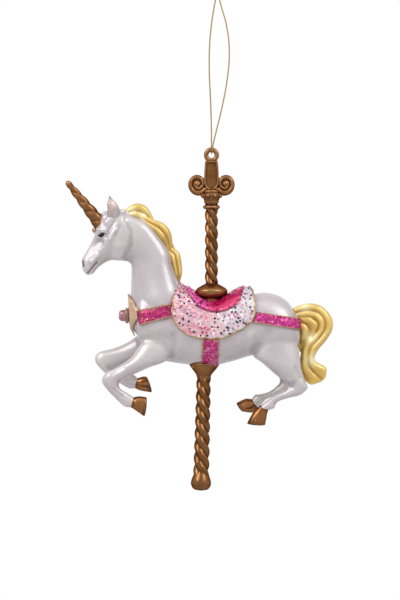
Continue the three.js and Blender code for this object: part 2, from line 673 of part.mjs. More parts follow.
function locks(bundle, grow) {
  return joined(bundle.map((ribs) => ribLoft(ribs, { per: 2, sides: 7, grow, caps: [0.6, 0.8] })));
}
const tail = (grow = 0) => locks(TAIL, grow);
const mane = () => locks(MANE, 0);

function horn(grow = 0) {
  const shape = { strands: 2, lead: HORN_LEAD, groove: HORN_GROOVE, sides: 8 };
  const spike = ropeTwist(HORN_LENGTH, HORN_TIP + 2 * grow, HORN_BASE + 2 * grow, shape);
  return spike.translate([0, 0, HORN_LENGTH]).rotate([0, HORN_TILT, 0]).translate([HORN_ROOT.x, 0, HORN_ROOT.z]);
}

// Tack: shells that follow the body, cut to their side outlines
function seatRise(x, merge) {
  const [rise, reach] = x < 0 ? [POMMEL_RISE, POMMEL_REACH] : [CANTLE_RISE, CANTLE_REACH];
  return ((rise + merge) * (1 - Math.cos(Math.PI * Math.min(Math.abs(x) / reach, 1)))) / 2;
}

const saddleTop = -FIT;
const blanketTop = saddleTop - SADDLE_THICKNESS - FIT;

// The torso under the tack, with its back raised to the pommel and cantle, and by merge more at their tops
function seatForm(level, grow, merge = 0) {
  const count = 14;
  const ribs = Array.from({ length: count }, (_, k) => {
    const along = THREE.MathUtils.lerp(SEAT_RIBS.first, SEAT_RIBS.last, k / (count - 1));
    const [ax, az, bx, bz, half, y] = between(TORSO, along);
    return [ax, Math.max(az + grow, level + seatRise(ax, merge)), bx, bz - grow, half + grow, y];
  });
  return ribLoft(ribs, { per: 1, sides: 18, caps: [0.5, 0.5], egg: 0.1 });
}

// The blanket rises to meet the thinner ends of the saddle.
const blanketForm = (grow = 0) => seatForm(blanketTop + grow, FIT + BLANKET_THICKNESS + grow, BLANKET_MERGE);

// Blanket outline: equal scallops along a smooth curve through the corners
function blanketOutline(margin = 0) {
  const pushed = BLANKET_CORNERS.map(([x, z]) => {
    const away = new THREE.Vector2(x - BLANKET_MIDDLE.x, z - BLANKET_MIDDLE.z);
    away.setLength(away.length() + margin);
    return away.add(new THREE.Vector2(BLANKET_MIDDLE.x, BLANKET_MIDDLE.z));
  });
  const corners = new THREE.SplineCurve(pushed).getSpacedPoints(SCALLOPS);
  const shape = new THREE.Shape();
  shape.moveTo(corners[0].x, TACK_TOP);
  shape.lineTo(corners[0].x, corners[0].y);
  corners.slice(1).forEach((to, i) => {
    const from = corners[i];
    const bulge = (2 * SCALLOP_BULGE) / from.distanceTo(to);
    const middle = from.clone().add(to).multiplyScalar(0.5);
    shape.quadraticCurveTo(middle.x + (to.y - from.y) * bulge, middle.y - (to.x - from.x) * bulge, to.x, to.y);
  });
  shape.lineTo(corners[SCALLOPS].x, TACK_TOP);
  return shape;
}

const blanketPlate = (margin) => solid(sidePlate(blanketOutline(margin), -HALF_SPAN, HALF_SPAN));

function saddleBlanket() {
  const cuts = [figureForm(FIT), upperFlange(FIT), upperPeg(FIT)];
  return cuts.reduce((body, cut) => body.subtract(cut), blanketForm().intersect(blanketPlate(0)));
}

function saddle() {
  const edge = smooth(SADDLE_EDGE.map(([x, z]) => [x + HALF_SPAN, z]), 18).map(([x, z]) => [x - HALF_SPAN, z]);
  const last = edge[edge.length - 1];
  const inside = edge.filter(([, z]) => z < SADDLE_TOP);
  const outline = polygon([[edge[0][0], SADDLE_TOP], ...inside, [last[0], SADDLE_TOP]]);
  const over = seatForm(saddleTop, FIT + BLANKET_THICKNESS + FIT + SADDLE_THICKNESS);
  const cuts = [blanketForm(FIT), figureForm(FIT), upperFlange(FIT), upperPeg(FIT)];
  const whole = over.intersect(solid(sidePlate(outline, -HALF_SPAN, HALF_SPAN)));
  return cuts.reduce((body, cut) => body.subtract(cut), whole);
}

// One side's strap: a shell on the trunk inside the strap's outline, clear of the blanket
function strap(points, side) {
  const [yMin, yMax] = side < 0 ? [-HALF_SPAN, -FIT / 2] : [FIT / 2, HALF_SPAN];
  const shell = trunk(FIT + STRAP_THICKNESS).subtract(trunk(FIT));
  return shell.intersect(solid(sidePlate(polygon(points), yMin, yMax))).subtract(blanketPlate(FIT));
}

function starOutline() {
  const { top, bottom, middle, reach, waist } = STAR_POINTS;
  const tips = [[0, top], [reach, middle], [0, bottom], [-reach, middle]];
  const shape = new THREE.Shape();
  shape.moveTo(...tips[0]);
  tips.forEach(([y, z], i) => {
    const [ny, nz] = tips[(i + 1) % tips.length];
    shape.quadraticCurveTo(Math.sign(y + ny) * waist, middle + Math.sign(z + nz - 2 * middle) * waist, ny, nz);
  });
  return shape;
}

function starPlate() {
  const depth = HALF_SPAN;
  const plate = new THREE.ExtrudeGeometry(starOutline(), { depth, bevelEnabled: false, curveSegments: 4 });
  plate.rotateX(Math.PI / 2).rotateZ(Math.PI / 2).translate(STAR_POINTS.front, 0, 0);
  return solid(plate);
}

// The star's side points end where the breast straps lie over them.
function chestStar() {
  const strapPlate = solid(sidePlate(polygon(BREAST_STRAP), -HALF_SPAN, HALF_SPAN));
  const around = [[FIT, 0], [-FIT, 0], [0, FIT], [0, -FIT]].map(([x, z]) => strapPlate.translate([x, 0, z]));
  return trunk(FIT + STAR_THICKNESS).subtract(trunk(FIT)).intersect(starPlate()).subtract(joined(around));
}

// A turned piece whose axis points forward, along -X, from the chest
function onChest(profile) {
  return solid(turned(profile, 20)).rotate([0, -90, 0]).translate([GEM_PLACE.x, 0, GEM_PLACE.z]);
}

// The setting is a bezel that stands on the star, round the stone.
function gemSetting() {
  const [inner, outer] = [GEM_DIAMETER / 2 + FIT, GEM_DIAMETER / 2 + FIT + SETTING_WALL];
  const [root, rim] = [-SETTING_ROOT, SETTING_HEIGHT];
  const wall = onChest([[0, root], [outer, root], [outer, rim], [0, rim]]);
  const bore = onChest([[0, root - FIT], [inner, root - FIT], [inner, rim + FIT], [0, rim + FIT]]);
  return wall.subtract(bore).subtract(trunk(FIT + STAR_THICKNESS + FIT));
}

function chestGem() {
  const r = GEM_DIAMETER / 2;
  const [girdle, top] = [SETTING_HEIGHT, SETTING_HEIGHT + GEM_HEIGHT];
  const shoulder = [[r * 0.94, girdle + GEM_HEIGHT * 0.6], [r * 0.62, girdle + GEM_HEIGHT * 0.93]];
  const crown = smooth([[r, girdle], ...shoulder, [0, top]], 8);
  return onChest([[0, -SETTING_ROOT], [r, -SETTING_ROOT], ...crown]).subtract(trunk(FIT + STAR_THICKNESS + FIT));
}

function foreheadJewel() {
  const [r, root] = [JEWEL_DIAMETER / 2, -JEWEL_ROOT];
  const dome = turned([[0, root], [r, root], ...smooth([[r, 0], [r * 0.75, r * 0.65], [0, r]], 6)], 14);
  const { x, z } = JEWEL_PLACE;
  const jewel = solid(dome).rotate([0, JEWEL_TILT, 0]).translate([x, 0, z]);
  return jewel.subtract(head(FIT)).subtract(horn(FIT));
}

// Assembly
addPart(ornament, 'hanger_thread', hangerThread(), goldThread());
addPart(ornament, 'thread_knot', threadKnot(), goldThread());
addPart(ornament, 'hanging_eye', hangingEye(), bronze());
addPart(ornament, 'finial', finial(), bronze());
addPart(ornament, 'pole_collar', poleCollar(), bronze());
addPart(ornament, 'upper_pole', upperPole(), bronze());

addPart(figure, 'upper_flange', upperFlange().subtract(upperPeg(FIT)), bronze());
addPart(figure, 'upper_peg', upperPeg(), steel());
addPart(figure, 'lower_ferrule', lowerFerrule().subtract(trunk(FIT)).subtract(lowerPeg(FIT)), bronze());
addPart(figure, 'lower_peg', lowerPeg(), steel());
addPart(figure, 'lower_pole', lowerPole(), bronze());
addPart(figure, 'pole_knob', poleKnob(), bronze());

addPart(figure, 'horse_body', horseBody(), pearl());
const figureCut = figureForm(FIT);
Object.keys(LEGS).forEach((name) => addPart(figure, name, leg(name).subtract(figureCut), pearl()));
Object.entries(HOOF_OF_LEG).forEach(([name, carrier]) => {
  addPart(figure, name, hoof(name).subtract(leg(carrier, FIT)), bronze());
});
addPart(figure, 'horn', horn().subtract(head(FIT)), bronze());
addPart(figure, 'mane', mane().subtract(figureCut), gold());
addPart(figure, 'tail', tail().subtract(figureCut), gold());

addPart(figure, 'saddle_blanket', saddleBlanket(), paleGlitter());
addPart(figure, 'saddle', saddle(), pinkGlitter());
const tailCut = tail(FIT);
const ferruleCut = lowerFerrule(FIT);
[['near', -1], ['far', 1]].forEach(([label, side]) => {
  addPart(figure, `${label}_breast_strap`, strap(BREAST_STRAP, side), pinkGlitter());
  addPart(figure, `${label}_rear_strap`, strap(REAR_STRAP, side).subtract(tailCut), pinkGlitter());
  addPart(figure, `${label}_girth`, strap(GIRTH, side).subtract(ferruleCut), pinkGlitter());
});
addPart(figure, 'chest_star', chestStar(), roseGold());
addPart(figure, 'gem_setting', gemSetting(), gold());
addPart(figure, 'chest_gem', chestGem(), gemPink());
addPart(figure, 'forehead_jewel', foreheadJewel(), gemPink());

export default ornament;
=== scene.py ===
# Carousel unicorn ornament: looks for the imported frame, seen as in its photograph.
# Shapes are drawn in millimetres and turned into metres where meshes are made.
import math
import random

import bpy
import numpy as np
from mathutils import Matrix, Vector
from mathutils.bvhtree import BVHTree


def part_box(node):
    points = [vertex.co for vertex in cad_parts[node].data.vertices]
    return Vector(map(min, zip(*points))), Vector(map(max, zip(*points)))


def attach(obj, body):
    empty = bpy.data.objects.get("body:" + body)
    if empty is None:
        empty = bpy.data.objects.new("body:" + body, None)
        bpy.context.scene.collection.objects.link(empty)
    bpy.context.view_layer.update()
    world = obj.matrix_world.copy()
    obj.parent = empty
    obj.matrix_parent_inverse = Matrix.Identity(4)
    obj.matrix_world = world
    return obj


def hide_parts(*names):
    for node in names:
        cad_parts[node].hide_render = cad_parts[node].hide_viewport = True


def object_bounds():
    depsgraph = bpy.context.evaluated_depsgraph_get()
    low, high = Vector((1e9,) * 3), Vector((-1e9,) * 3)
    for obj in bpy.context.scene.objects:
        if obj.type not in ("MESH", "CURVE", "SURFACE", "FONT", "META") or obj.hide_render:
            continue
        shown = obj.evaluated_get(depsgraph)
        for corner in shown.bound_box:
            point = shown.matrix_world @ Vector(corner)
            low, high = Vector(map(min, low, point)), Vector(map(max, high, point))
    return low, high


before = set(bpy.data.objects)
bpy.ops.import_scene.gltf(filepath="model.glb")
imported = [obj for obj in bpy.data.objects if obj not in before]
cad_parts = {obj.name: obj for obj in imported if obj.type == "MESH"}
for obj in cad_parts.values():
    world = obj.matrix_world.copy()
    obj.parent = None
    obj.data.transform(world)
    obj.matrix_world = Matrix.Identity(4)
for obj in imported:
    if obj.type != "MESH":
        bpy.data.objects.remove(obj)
cad_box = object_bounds()

MM = 0.001
random.seed(7)
scene = bpy.context.scene


def node_box(cad_node):
    """A CAD node's lowest and highest corner, in millimetres."""
    low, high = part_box(cad_node)
    return np.array(low) / MM, np.array(high) / MM


# Level of the seat, which the figure's ribs are measured from
SEAT = node_box("upper_flange")[0][2]

# Photograph: millimetres to a pixel, the picture's centre and the distance of the camera
PIXEL = 0.445
PICTURE = (400, 600)
PICTURE_CENTRE = (-5.1, -64.5)
CAMERA_DISTANCE = 1600
FLOOR_DROP = 150
FLOOR_RADIUS = 1150
FLOOR_SIDES = 96

# Light of the white room on what isn't seen straight, by reflection or through glass
ROOM_LIGHT = 0.43

# How far a pole's piece reaches into its neighbour, across the gap between the solids
JOIN = 0.4

# Fillet between the forms of the figure
SKIN_BLEND = 1.1
SKIN_VOXEL = 0.36

# A rib is one cross-section of a form: x, z of its first edge, x, z of its second edge, half width, y.
TORSO = [
    (-35, 0, -34.4, -15, 5.2, 0), (-31, 4.5, -31.3, -21.5, 8.6, 0), (-22, 6, -22.5, -27, 10.3, 0),
    (-12, 1.4, -12, -29, 11.2, 0), (-1, -3, -1, -30, 11.6, 0), (10, -1.9, 10, -27.6, 11.4, 0),
    (19, 2.3, 19, -25, 11, 0), (27, 2.5, 27.5, -25, 10.7, 0), (34, -0.8, 35, -24.5, 9.4, 0),
    (38, -6, 38.6, -21.5, 6.8, 0),
]
NECK = [
    (-33, -16, -12, -6, 9.2, 0), (-35.6, -6, -13.4, 4, 9.2, 0), (-36, 3, -15, 8.6, 7.9, 0),
    (-35.6, 13, -17.2, 15, 6.5, 0), (-36.2, 17.2, -18.6, 21, 5.9, 0), (-38.5, 20, -22, 26.6, 5.5, 0),
    (-42, 23, -28.5, 34.2, 5.1, 0), (-45, 27, -36, 37.6, 4.5, 0),
]
HEAD = [
    (-36.6, 38.6, -34, 19, 4.4, 0), (-41.5, 39.8, -37.4, 16.8, 5.2, 0), (-47.6, 38.4, -41, 17, 5.5, 0),
    (-51.4, 33.4, -44.6, 17.2, 5.1, 0), (-53, 26.8, -47.8, 15.8, 4.2, 0),
    (-55.6, 21.4, -50.6, 13.6, 3.3, 0), (-58, 17, -52.8, 11, 3.1, 0), (-57.8, 14, -54.6, 10.8, 2.4, 0),
]
EAR = [
    (-46.3, 35.4, -40.6, 35.4, 1.8, -2.2), (-46.2, 39.6, -40.8, 39.4, 1.8, -3),
    (-46.1, 42.2, -41.9, 42.1, 1.4, -3.4), (-45.8, 44.1, -43.7, 44, 0.8, -3.6),
    (-45.4, 45.4, -44.9, 45.4, 0.35, -3.7),
]
CHEEK = [
    (-46.6, 30.2, -36.4, 27.6, 4.9, 0), (-48.2, 24.6, -35.2, 23.4, 5.6, 0),
    (-46.6, 18.6, -37.6, 17.8, 4.6, 0),
]

# Legs run from inside the body to the hoof: first edge is the front of the leg, second the back.
LEGS = {
    "near_foreleg": [
        (-27, -14, -15, -20, 3.4, -5), (-32, -20.8, -20, -27.6, 4.2, -6.4),
        (-35.8, -26, -28.5, -31, 3.9, -7.2), (-41.8, -30, -35.6, -34.2, 3.3, -7.2),
        (-46.8, -32.6, -40.6, -36.8, 3, -7.2), (-48.7, -36.6, -40.9, -38.4, 2.8, -7.2),
        (-46.2, -40.6, -39.9, -39.8, 2.4, -7.2), (-42, -44.7, -37.6, -41.4, 2, -7.2),
        (-38.4, -47.8, -35.4, -43, 2.3, -7.2), (-34.9, -48.2, -34.1, -43.7, 2.1, -7.2),
    ],
    "far_foreleg": [
        (-27, -10, -17, -19, 3.4, 5), (-34, -17, -24, -27, 4.2, 6.4), (-39.5, -20.4, -33, -30, 3.8, 7.2),
        (-45, -22.4, -40.2, -31.6, 3.2, 7.2), (-50.4, -23.8, -44, -32.4, 3, 7.2),
        (-52.4, -27.6, -44.4, -32.6, 2.8, 7.2), (-49.4, -32, -43, -32.6, 2.4, 7.2),
        (-43, -36.4, -39.4, -32.6, 2, 7.2), (-37, -40, -34.6, -34, 2.3, 7.2),
        (-33.4, -40, -32.6, -35.4, 2.1, 7.2),
    ],
    "near_hind_leg": [
        (20, -12, 36, -12, 4, -4.6), (18.8, -24.6, 39, -24, 4.8, -5.6),
        (24, -29.8, 39.8, -30.5, 4.5, -6.2), (30, -35.3, 41.4, -35.8, 3.3, -6.1),
        (33.6, -38, 42.8, -39.4, 2.7, -6), (33, -40, 39.2, -43, 2.4, -6), (30, -41.7, 33, -44.5, 1.9, -6),
        (26.5, -43.6, 28.9, -46, 1.9, -6), (24, -45.4, 28, -48.5, 2.4, -6),
        (20.6, -48, 24.8, -49.9, 2.2, -6),
    ],
    "far_hind_leg": [
        (20, -12, 36, -12, 4, 4.6), (18.2, -24.6, 38.4, -24, 4.8, 5.6),
        (23.4, -29.8, 39, -30.5, 4.5, 6.2), (28.8, -34.6, 40, -35.4, 3.3, 6.1),
        (30.8, -36.6, 40.6, -38.8, 2.7, 6), (29, -38.8, 35.8, -42, 2.4, 6),
        (26.4, -41, 29.2, -43.6, 1.9, 6), (22.4, -42.3, 24.4, -45, 1.9, 6),
        (19.6, -42.6, 22.4, -47.6, 2.4, 6), (17.6, -44.8, 20.2, -49.2, 2.2, 6),
    ],
}
HOOVES = {
    "near_fore_hoof": [
        (-36, -47.8, -35, -43.9, 1.9, -7.2), (-33.6, -49.2, -32.4, -43.4, 2.5, -7.2),
        (-29.2, -52.4, -28.3, -43.7, 2.9, -7.2),
    ],
    "far_fore_hoof": [
        (-34.6, -39.6, -33.8, -35.8, 1.9, 7.2), (-31.6, -40.8, -31, -35, 2.5, 7.2),
        (-26, -41.8, -28.8, -34.8, 2.9, 7.2),
    ],
    "near_hind_hoof": [
        (21.6, -47.2, 25.2, -49, 1.9, -6), (18.6, -50.4, 24.4, -51.4, 2.5, -6),
        (15.4, -56, 23.6, -56.6, 2.9, -6),
    ],
    "far_hind_hoof": [
        (18.8, -45, 21, -48.6, 1.9, 6), (15.4, -44.8, 18.4, -50.6, 2.5, 6),
        (10.7, -46.8, 13.2, -50.2, 2.7, 6),
    ],
}

# Locks of the mane and tail: first edge is the outer silhouette, second lies on the crest or inner curl.
MANE = [
    [
        (-39.4, 38.6, -37, 36.4, 1.5, 0), (-37.2, 40.8, -35, 36.2, 2.2, 0),
        (-32.9, 42.6, -32.6, 35.4, 2.6, 0), (-28.8, 41, -29.8, 34, 2.4, 0),
        (-26, 36.6, -27.4, 33, 1.4, 0),
    ],
    [
        (-31, 38.2, -31.5, 34, 1.6, -0.5), (-26.4, 35.6, -28, 31.8, 2.2, -0.7),
        (-21.8, 34, -25, 29, 2.6, -0.7), (-18.4, 30.4, -22.6, 25.8, 2.5, -0.6),
        (-17.3, 25.6, -20.4, 22.8, 2, -0.5), (-17.6, 22, -19.6, 20.8, 1.2, -0.3),
    ],
    [
        (-24.6, 31, -26, 27.6, 1.6, 0.6), (-20, 28.8, -22.8, 25.4, 2.2, 0.8),
        (-16.6, 23.6, -20.2, 21.4, 2.2, 0.7), (-15.8, 18.4, -18.6, 17.6, 1.4, 0.4),
    ],
    [
        (-18.8, 23.4, -20.6, 21, 1.5, 0), (-14.5, 20.9, -18.8, 18.6, 2.3, 0),
        (-13.3, 17, -17.8, 15.4, 2.5, 0), (-12.9, 12, -16.8, 11.4, 2.1, 0),
        (-13.8, 8.2, -15.6, 8.6, 1.2, 0),
    ],
]
TAIL = [
    [
        (36.6, -3.8, 37.6, -9, 2.2, 0), (42.8, -1.9, 42.6, -8.4, 2.8, 0), (49, -3.2, 45.6, -9, 3.1, 0),
        (53.4, -8, 47, -11, 3.2, 0), (54.1, -13, 46.6, -14.2, 3.2, 0), (51.4, -18.2, 44.6, -16.6, 3.1, 0),
        (47.8, -22.4, 40.8, -20.2, 3, 0), (46, -26, 39.6, -25.2, 2.9, 0), (46.8, -28, 39.2, -31, 2.8, 0),
        (49.6, -29.4, 40.8, -35.6, 2.6, 0), (51.4, -31, 44, -38.2, 2.1, 0),
        (51, -34.2, 47.6, -37.4, 1.2, 0),
    ],
    [
        (38.6, -7, 38, -13.4, 2.2, 0), (44, -7.6, 39.4, -15, 2.6, 0), (48, -11, 39.2, -17.4, 2.7, 0),
        (46.6, -15.8, 39.2, -19.4, 2, 0),
    ],
    [
        (47.4, -15.2, 46.6, -19, 2.2, 0), (42.4, -16.2, 42.6, -22.2, 2.3, 0),
        (39.1, -19.3, 39.6, -23.2, 1.4, 0),
    ],
]
MANE_STRANDS = (2, 2, 2, 2)
TAIL_STRANDS = (2, 2, 1)

# Side outlines of the tack, x and z from the seat
BLANKET_CORNERS = [
    (-16.6, 2.4), (-17.2, -8.6), (-10.6, -16), (-2.6, -17.4), (5.4, -17.2),
    (12.2, -13.8), (18.4, -9.4), (19.3, -1), (17.4, 5.4),
]
BLANKET_MIDDLE = (1, -4)
SCALLOPS = 14
SCALLOP_BULGE = 0.6
STRAP_EDGES = {
    "breast_strap": [[(-33, -5.2), (-24, -3.6), (-13, -1)], [(-32, -11.8), (-24, -9.6), (-13, -6.6)]],
    "rear_strap": [[(17, -5.4), (28, -7), (44, -9.4)], [(17, -10), (28, -12), (44, -14.2)]],
    "girth": [[(-3.7, -14), (-4.7, -34)], [(3.6, -14), (2.6, -34)]],
}

# Rope twist of the poles and the horn
ROPE_STRANDS = 3
ROPE_LEAD = 16.5
ROPE_GROOVE = 0.95
HORN_STRANDS = 2
HORN_LEAD = 10.5
HORN_GROOVE = 0.45
HORN_LENGTH = 26
HORN_BASE = 7
HORN_TIP = 2.8
HORN_ROOT = (-48.3, 32)
HORN_TILT = -38.5

# Thread from its knot, down behind the eye, through it and up in front, in metres
THREAD_DIAMETER = 0.0006
THREAD_ROUTE = [
    (0.0023, 0.0001, 0.0712), (0.0012, 0.0005, 0.066), (0.0001, 0.0009, 0.059), (-0.0007, 0.0012, 0.051),
    (-0.001, 0.0014, 0.043), (-0.0009, 0.00155, 0.035), (-0.0005, 0.00165, 0.027), (-0.0002, 0.0017, 0.019),
    (-0.00005, 0.0017, 0.012), (0, 0.0017, 0.007), (0.00005, 0.0017, 0.004), (0.00005, 0.00168, 0.0026),
    (0.00006, 0.0014, 0.00145), (0.00008, 0.0008, 0.00085), (0.0001, 0, 0.00066), (0.00015, -0.0008, 0.00085),
    (0.00022, -0.0014, 0.00145), (0.00035, -0.00168, 0.0026), (0.0006, -0.0017, 0.004),
    (0.00125, -0.0017, 0.007), (0.0025, -0.00165, 0.012), (0.0042, -0.00155, 0.019), (0.0059, -0.0014, 0.027),
    (0.0072, -0.00125, 0.035), (0.0079, -0.0011, 0.043), (0.0077, -0.0009, 0.051), (0.0064, -0.0006, 0.059),
    (0.0044, -0.0003, 0.066), (0.0031, -0.0001, 0.0712),
]

# Mesh making: a form is a pair of points (millimetres) and faces.
TO_AND_FRO = (0.5, -0.53)


def smooth_rows(rows, per):
    """Rows of numbers on a smooth curve through a table's rows."""
    table = np.array(rows, float)
    last = len(table) - 1
    made = []
    for k in range(last * per + 1):
        i = min(k // per, last - 1)
        f = k / per - i
        p, q, r, s = (table[min(max(i + step, 0), last)] for step in (-1, 0, 1, 2))
        m, o = (r - p) / 2, (s - q) / 2
        made.append(q + f * m + f**2 * (3 * (r - q) - 2 * m - o) + f**3 * (2 * (q - r) + m + o))
    return np.array(made)


def bent(points, count, last=False):
    """Points along curves whose ends and control points take turns in a list."""
    points = np.array(points, float)
    f = np.linspace(0, 1, count, endpoint=last)[:, None]
    curves = zip(points[:-2:2], points[1::2], points[2::2])
    return np.vstack([(1 - f) ** 2 * a + 2 * f * (1 - f) * b + f**2 * c for a, b, c in curves])


def around(count):
    """Angles at equal steps round a circle."""
    return np.linspace(0, 2 * math.pi, count, endpoint=False)


def circle(radius, angle, level):
    """Points round Z at one level."""
    return np.stack([radius * np.cos(angle), radius * np.sin(angle), np.full(len(angle), level)], 1)


def loft(rings):
    """A form through rings of equal count, with a fan over each end."""
    rings = np.array(rings, float)
    steps, count, _ = rings.shape
    points = np.vstack([rings.reshape(-1, 3), rings[0].mean(0), rings[-1].mean(0)])
    faces = []
    for k in range(steps - 1):
        for i in range(count):
            here, beside = k * count + i, k * count + (i + 1) % count
            faces.append((here, beside, beside + count, here + count))
    first, last = steps * count, steps * count + 1
    for i in range(count):
        beside = (i + 1) % count
        faces.append((first, beside, i))
        faces.append((last, (steps - 1) * count + i, (steps - 1) * count + beside))
    return points, faces


def rib_rings(rows, sides, grow=0.0, egg=0.0):
    """A ring round each rib, grown outwards, and narrower towards the first edge by egg."""
    ax, az, bx, bz, half, y = rows.T
    angle = around(sides)
    centre = np.stack([(ax + bx) / 2, y, (az + bz) / 2], 1)
    reach = np.stack([ax - bx, 0 * ax, az - bz], 1) / 2
    length = np.linalg.norm(reach, axis=1, keepdims=True)
    reach *= (length + grow) / np.maximum(length, 1e-6)
    rings = centre[:, None] + reach[:, None] * np.cos(angle)[None, :, None]
    rings[:, :, 1] += (half[:, None] + grow) * np.sin(angle) * (1 - egg * np.cos(angle))
    return rings


def dome(ring, inner, length):
    """Rings that close an end with a dome of that length."""
    centre = ring.mean(0)
    out = centre - inner.mean(0)
    out /= np.linalg.norm(out)
    turns = np.radians([20, 40, 60, 78])
    return [centre + (ring - centre) * math.cos(t) + out * length * math.sin(t) for t in turns]


def capped(rings, first, last):
    """A form through rings, with a dome of its own length over each end."""
    return loft([*dome(rings[0], rings[1], first)[::-1], *rings, *dome(rings[-1], rings[-2], last)])


def rib_form(ribs, per=6, sides=40, grow=0.0, caps=(1, 1), egg=0.0):
    rings = rib_rings(smooth_rows(ribs, per), sides, grow, egg)
    return capped(rings, caps[0] + grow, caps[1] + grow)


def lathe(profile, sides=64, per=8):
    """A form of revolution about Z through [radius, z] points, smooth between them."""
    rows = smooth_rows(profile, per)
    return loft([circle(max(radius, 0.01), around(sides), level) for radius, level in rows])


def rope(length, top, foot, strands, lead, groove, sides=60, steps_per_lead=40):
    """Twisted strands from z = 0 down, and how deep in a groove each point lies."""
    steps = math.ceil(length / lead * steps_per_lead)
    angle = around(sides)
    lobe = np.abs(np.cos(strands * angle / 2)) ** 1.15
    rings = []
    for k in range(steps + 1):
        along = k / steps
        radius = (top + (foot - top) * along) / 2 - groove * (1 - lobe)
        turn = angle + along * length / lead * 2 * math.pi
        rings.append(circle(radius, turn, -along * length))
    depth = np.clip(1 - lobe / 0.4, 0, 1) ** 1.5
    return loft(rings), np.concatenate([np.tile(depth, steps + 1), [0, 0]])


def tube(path, radius, sides=10):
    """A round tube along points, with domed ends."""
    path = np.array(path, float)
    ahead = unit(np.gradient(path, axis=0))
    side = np.cross(ahead[0], (0.31, 0.77, 0.55))
    angle = around(sides)[:, None]
    rings = []
    for point, along in zip(path, ahead):
        side = side - along * side.dot(along)
        side /= np.linalg.norm(side)
        up = np.cross(along, side)
        rings.append(point + radius * (np.cos(angle) * side + np.sin(angle) * up))
    return capped(rings, radius, radius)


def ball(centre, radii, sides=24):
    profile = [(math.sin(t), -math.cos(t)) for t in np.linspace(0, math.pi, 13)]
    points, faces = lathe(profile, sides, 1)
    return points * np.array(radii) + np.array(centre), faces


def placed(form, offset=(0, 0, 0), tilt=0.0):
    """The form turned about Y by tilt degrees and then moved."""
    points, faces = form
    x, y, z = points.T
    c, s = math.cos(math.radians(tilt)), math.sin(math.radians(tilt))
    return np.stack([x * c + z * s, y, z * c - x * s], 1) + np.array(offset), faces


def on_seat(form):
    return placed(form, (0, 0, SEAT))


def below_seat(form):
    return placed(form, (0, 0, -SEAT))


def merged(forms):
    points, faces, start = [], [], 0
    for form_points, form_faces in forms:
        points.append(form_points)
        faces.extend(tuple(i + start for i in face) for face in form_faces)
        start += len(form_points)
    return np.vstack(points), faces


def mesh_object(name, form, material):
    points, faces = form
    mesh = bpy.data.meshes.new(name)
    mesh.from_pydata((points * MM).tolist(), [], faces)
    mesh.validate()
    mesh.shade_smooth()
    mesh.materials.append(material)
    made = bpy.data.objects.new(name, mesh)
    scene.collection.objects.link(made)
    return made


def piece(name, form, material, slot, replaces=(), body="ornament", **paint):
    """A shown piece. Its paint is a number for each point, which its material reads by name."""
    made = mesh_object(name, form, material)
    for layer, share in paint.items():
        values = made.data.attributes.new(layer, "FLOAT", "POINT").data
        values.foreach_set("value", np.asarray(share, np.float32))
    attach(made, body)
    if replaces:
        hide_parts(*replaces)
    return made


def form_of(mesh):
    points = np.zeros(len(mesh.vertices) * 3)
    mesh.vertices.foreach_get("co", points)
    return points.reshape(-1, 3) / MM, [tuple(face.vertices) for face in mesh.polygons]


def remeshed(form, voxel):
    """One skin round overlapping forms, as a form."""
    rough = mesh_object("rough", form, None)
    remesh = rough.modifiers.new("fuse", "REMESH")
    remesh.mode = "VOXEL"
    remesh.voxel_size = voxel * MM
    depsgraph = bpy.context.evaluated_depsgraph_get()
    mesh = bpy.data.meshes.new_from_object(rough.evaluated_get(depsgraph))
    skin = form_of(mesh)
    old = rough.data
    bpy.data.objects.remove(rough)
    bpy.data.meshes.remove(old)
    bpy.data.meshes.remove(mesh)
    return skin


def quads_of(faces):
    """Faces as rows of four, where a triangle ends on its first corner again."""
    return np.array([face if len(face) == 4 else (*face, face[0]) for face in faces])


def edges_of(faces):
    quads = quads_of(faces)
    pairs = np.vstack([quads[:, [i, (i + 1) % 4]] for i in range(4)])
    pairs.sort(axis=1)
    return np.unique(pairs[pairs[:, 0] != pairs[:, 1]], axis=0)


def relaxed(form, steps, shares=(0.5,)):
    """The form with each point drawn towards its neighbours, or to and fro so that its size is kept."""
    points, faces = form
    edges = edges_of(faces)
    ends = np.concatenate([edges[:, 0], edges[:, 1]])
    others = np.concatenate([edges[:, 1], edges[:, 0]])
    count = np.bincount(ends, minlength=len(points))[:, None]
    for k in range(steps):
        total = np.stack([np.bincount(ends, column[others], len(points)) for column in points.T], 1)
        points = points + shares[k % len(shares)] * (total / count - points)
    return points, faces


def evened(values, faces, steps):
    """Numbers on the points of a form, each drawn towards its neighbours'."""
    return relaxed((values[:, None], faces), steps)[0][:, 0]


def unit(rows):
    """Each row as a direction."""
    return rows / np.maximum(np.linalg.norm(rows, axis=1, keepdims=True), 1e-9)


def normals_of(form):
    points, faces = form
    quads = quads_of(faces)
    a, b, c, d = (points[quads[:, corner]] for corner in range(4))
    across = np.cross(c - a, d - b)
    total = np.zeros_like(points)
    for corner in range(4):
        np.add.at(total, quads[:, corner], across)
    return unit(total)


def ridge_share(form, steps, reach):
    """0.5 where a form is even, up to 1 on its ridges and down to 0 in its hollows."""
    points, faces = form
    height = np.einsum("ij,ij->i", points - relaxed(form, steps)[0], normals_of(form))
    return np.clip(0.5 + evened(height, faces, 3) / (2 * reach), 0, 1)


def refined(cad_node, voxel, steps):
    """A CAD node's own shape with its facets and edges softened."""
    return relaxed(remeshed(form_of(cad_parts[cad_node].data), voxel), steps, TO_AND_FRO)


def tree_of(form):
    """A form's faces, ready for rays."""
    return BVHTree.FromPolygons(form[0].tolist(), form[1])


# Materials
def feed(tree, socket, value):
    """Gives an input a value, or links it to another node's output."""
    if isinstance(value, bpy.types.NodeSocket):
        tree.links.new(value, socket)
    else:
        socket.default_value = value


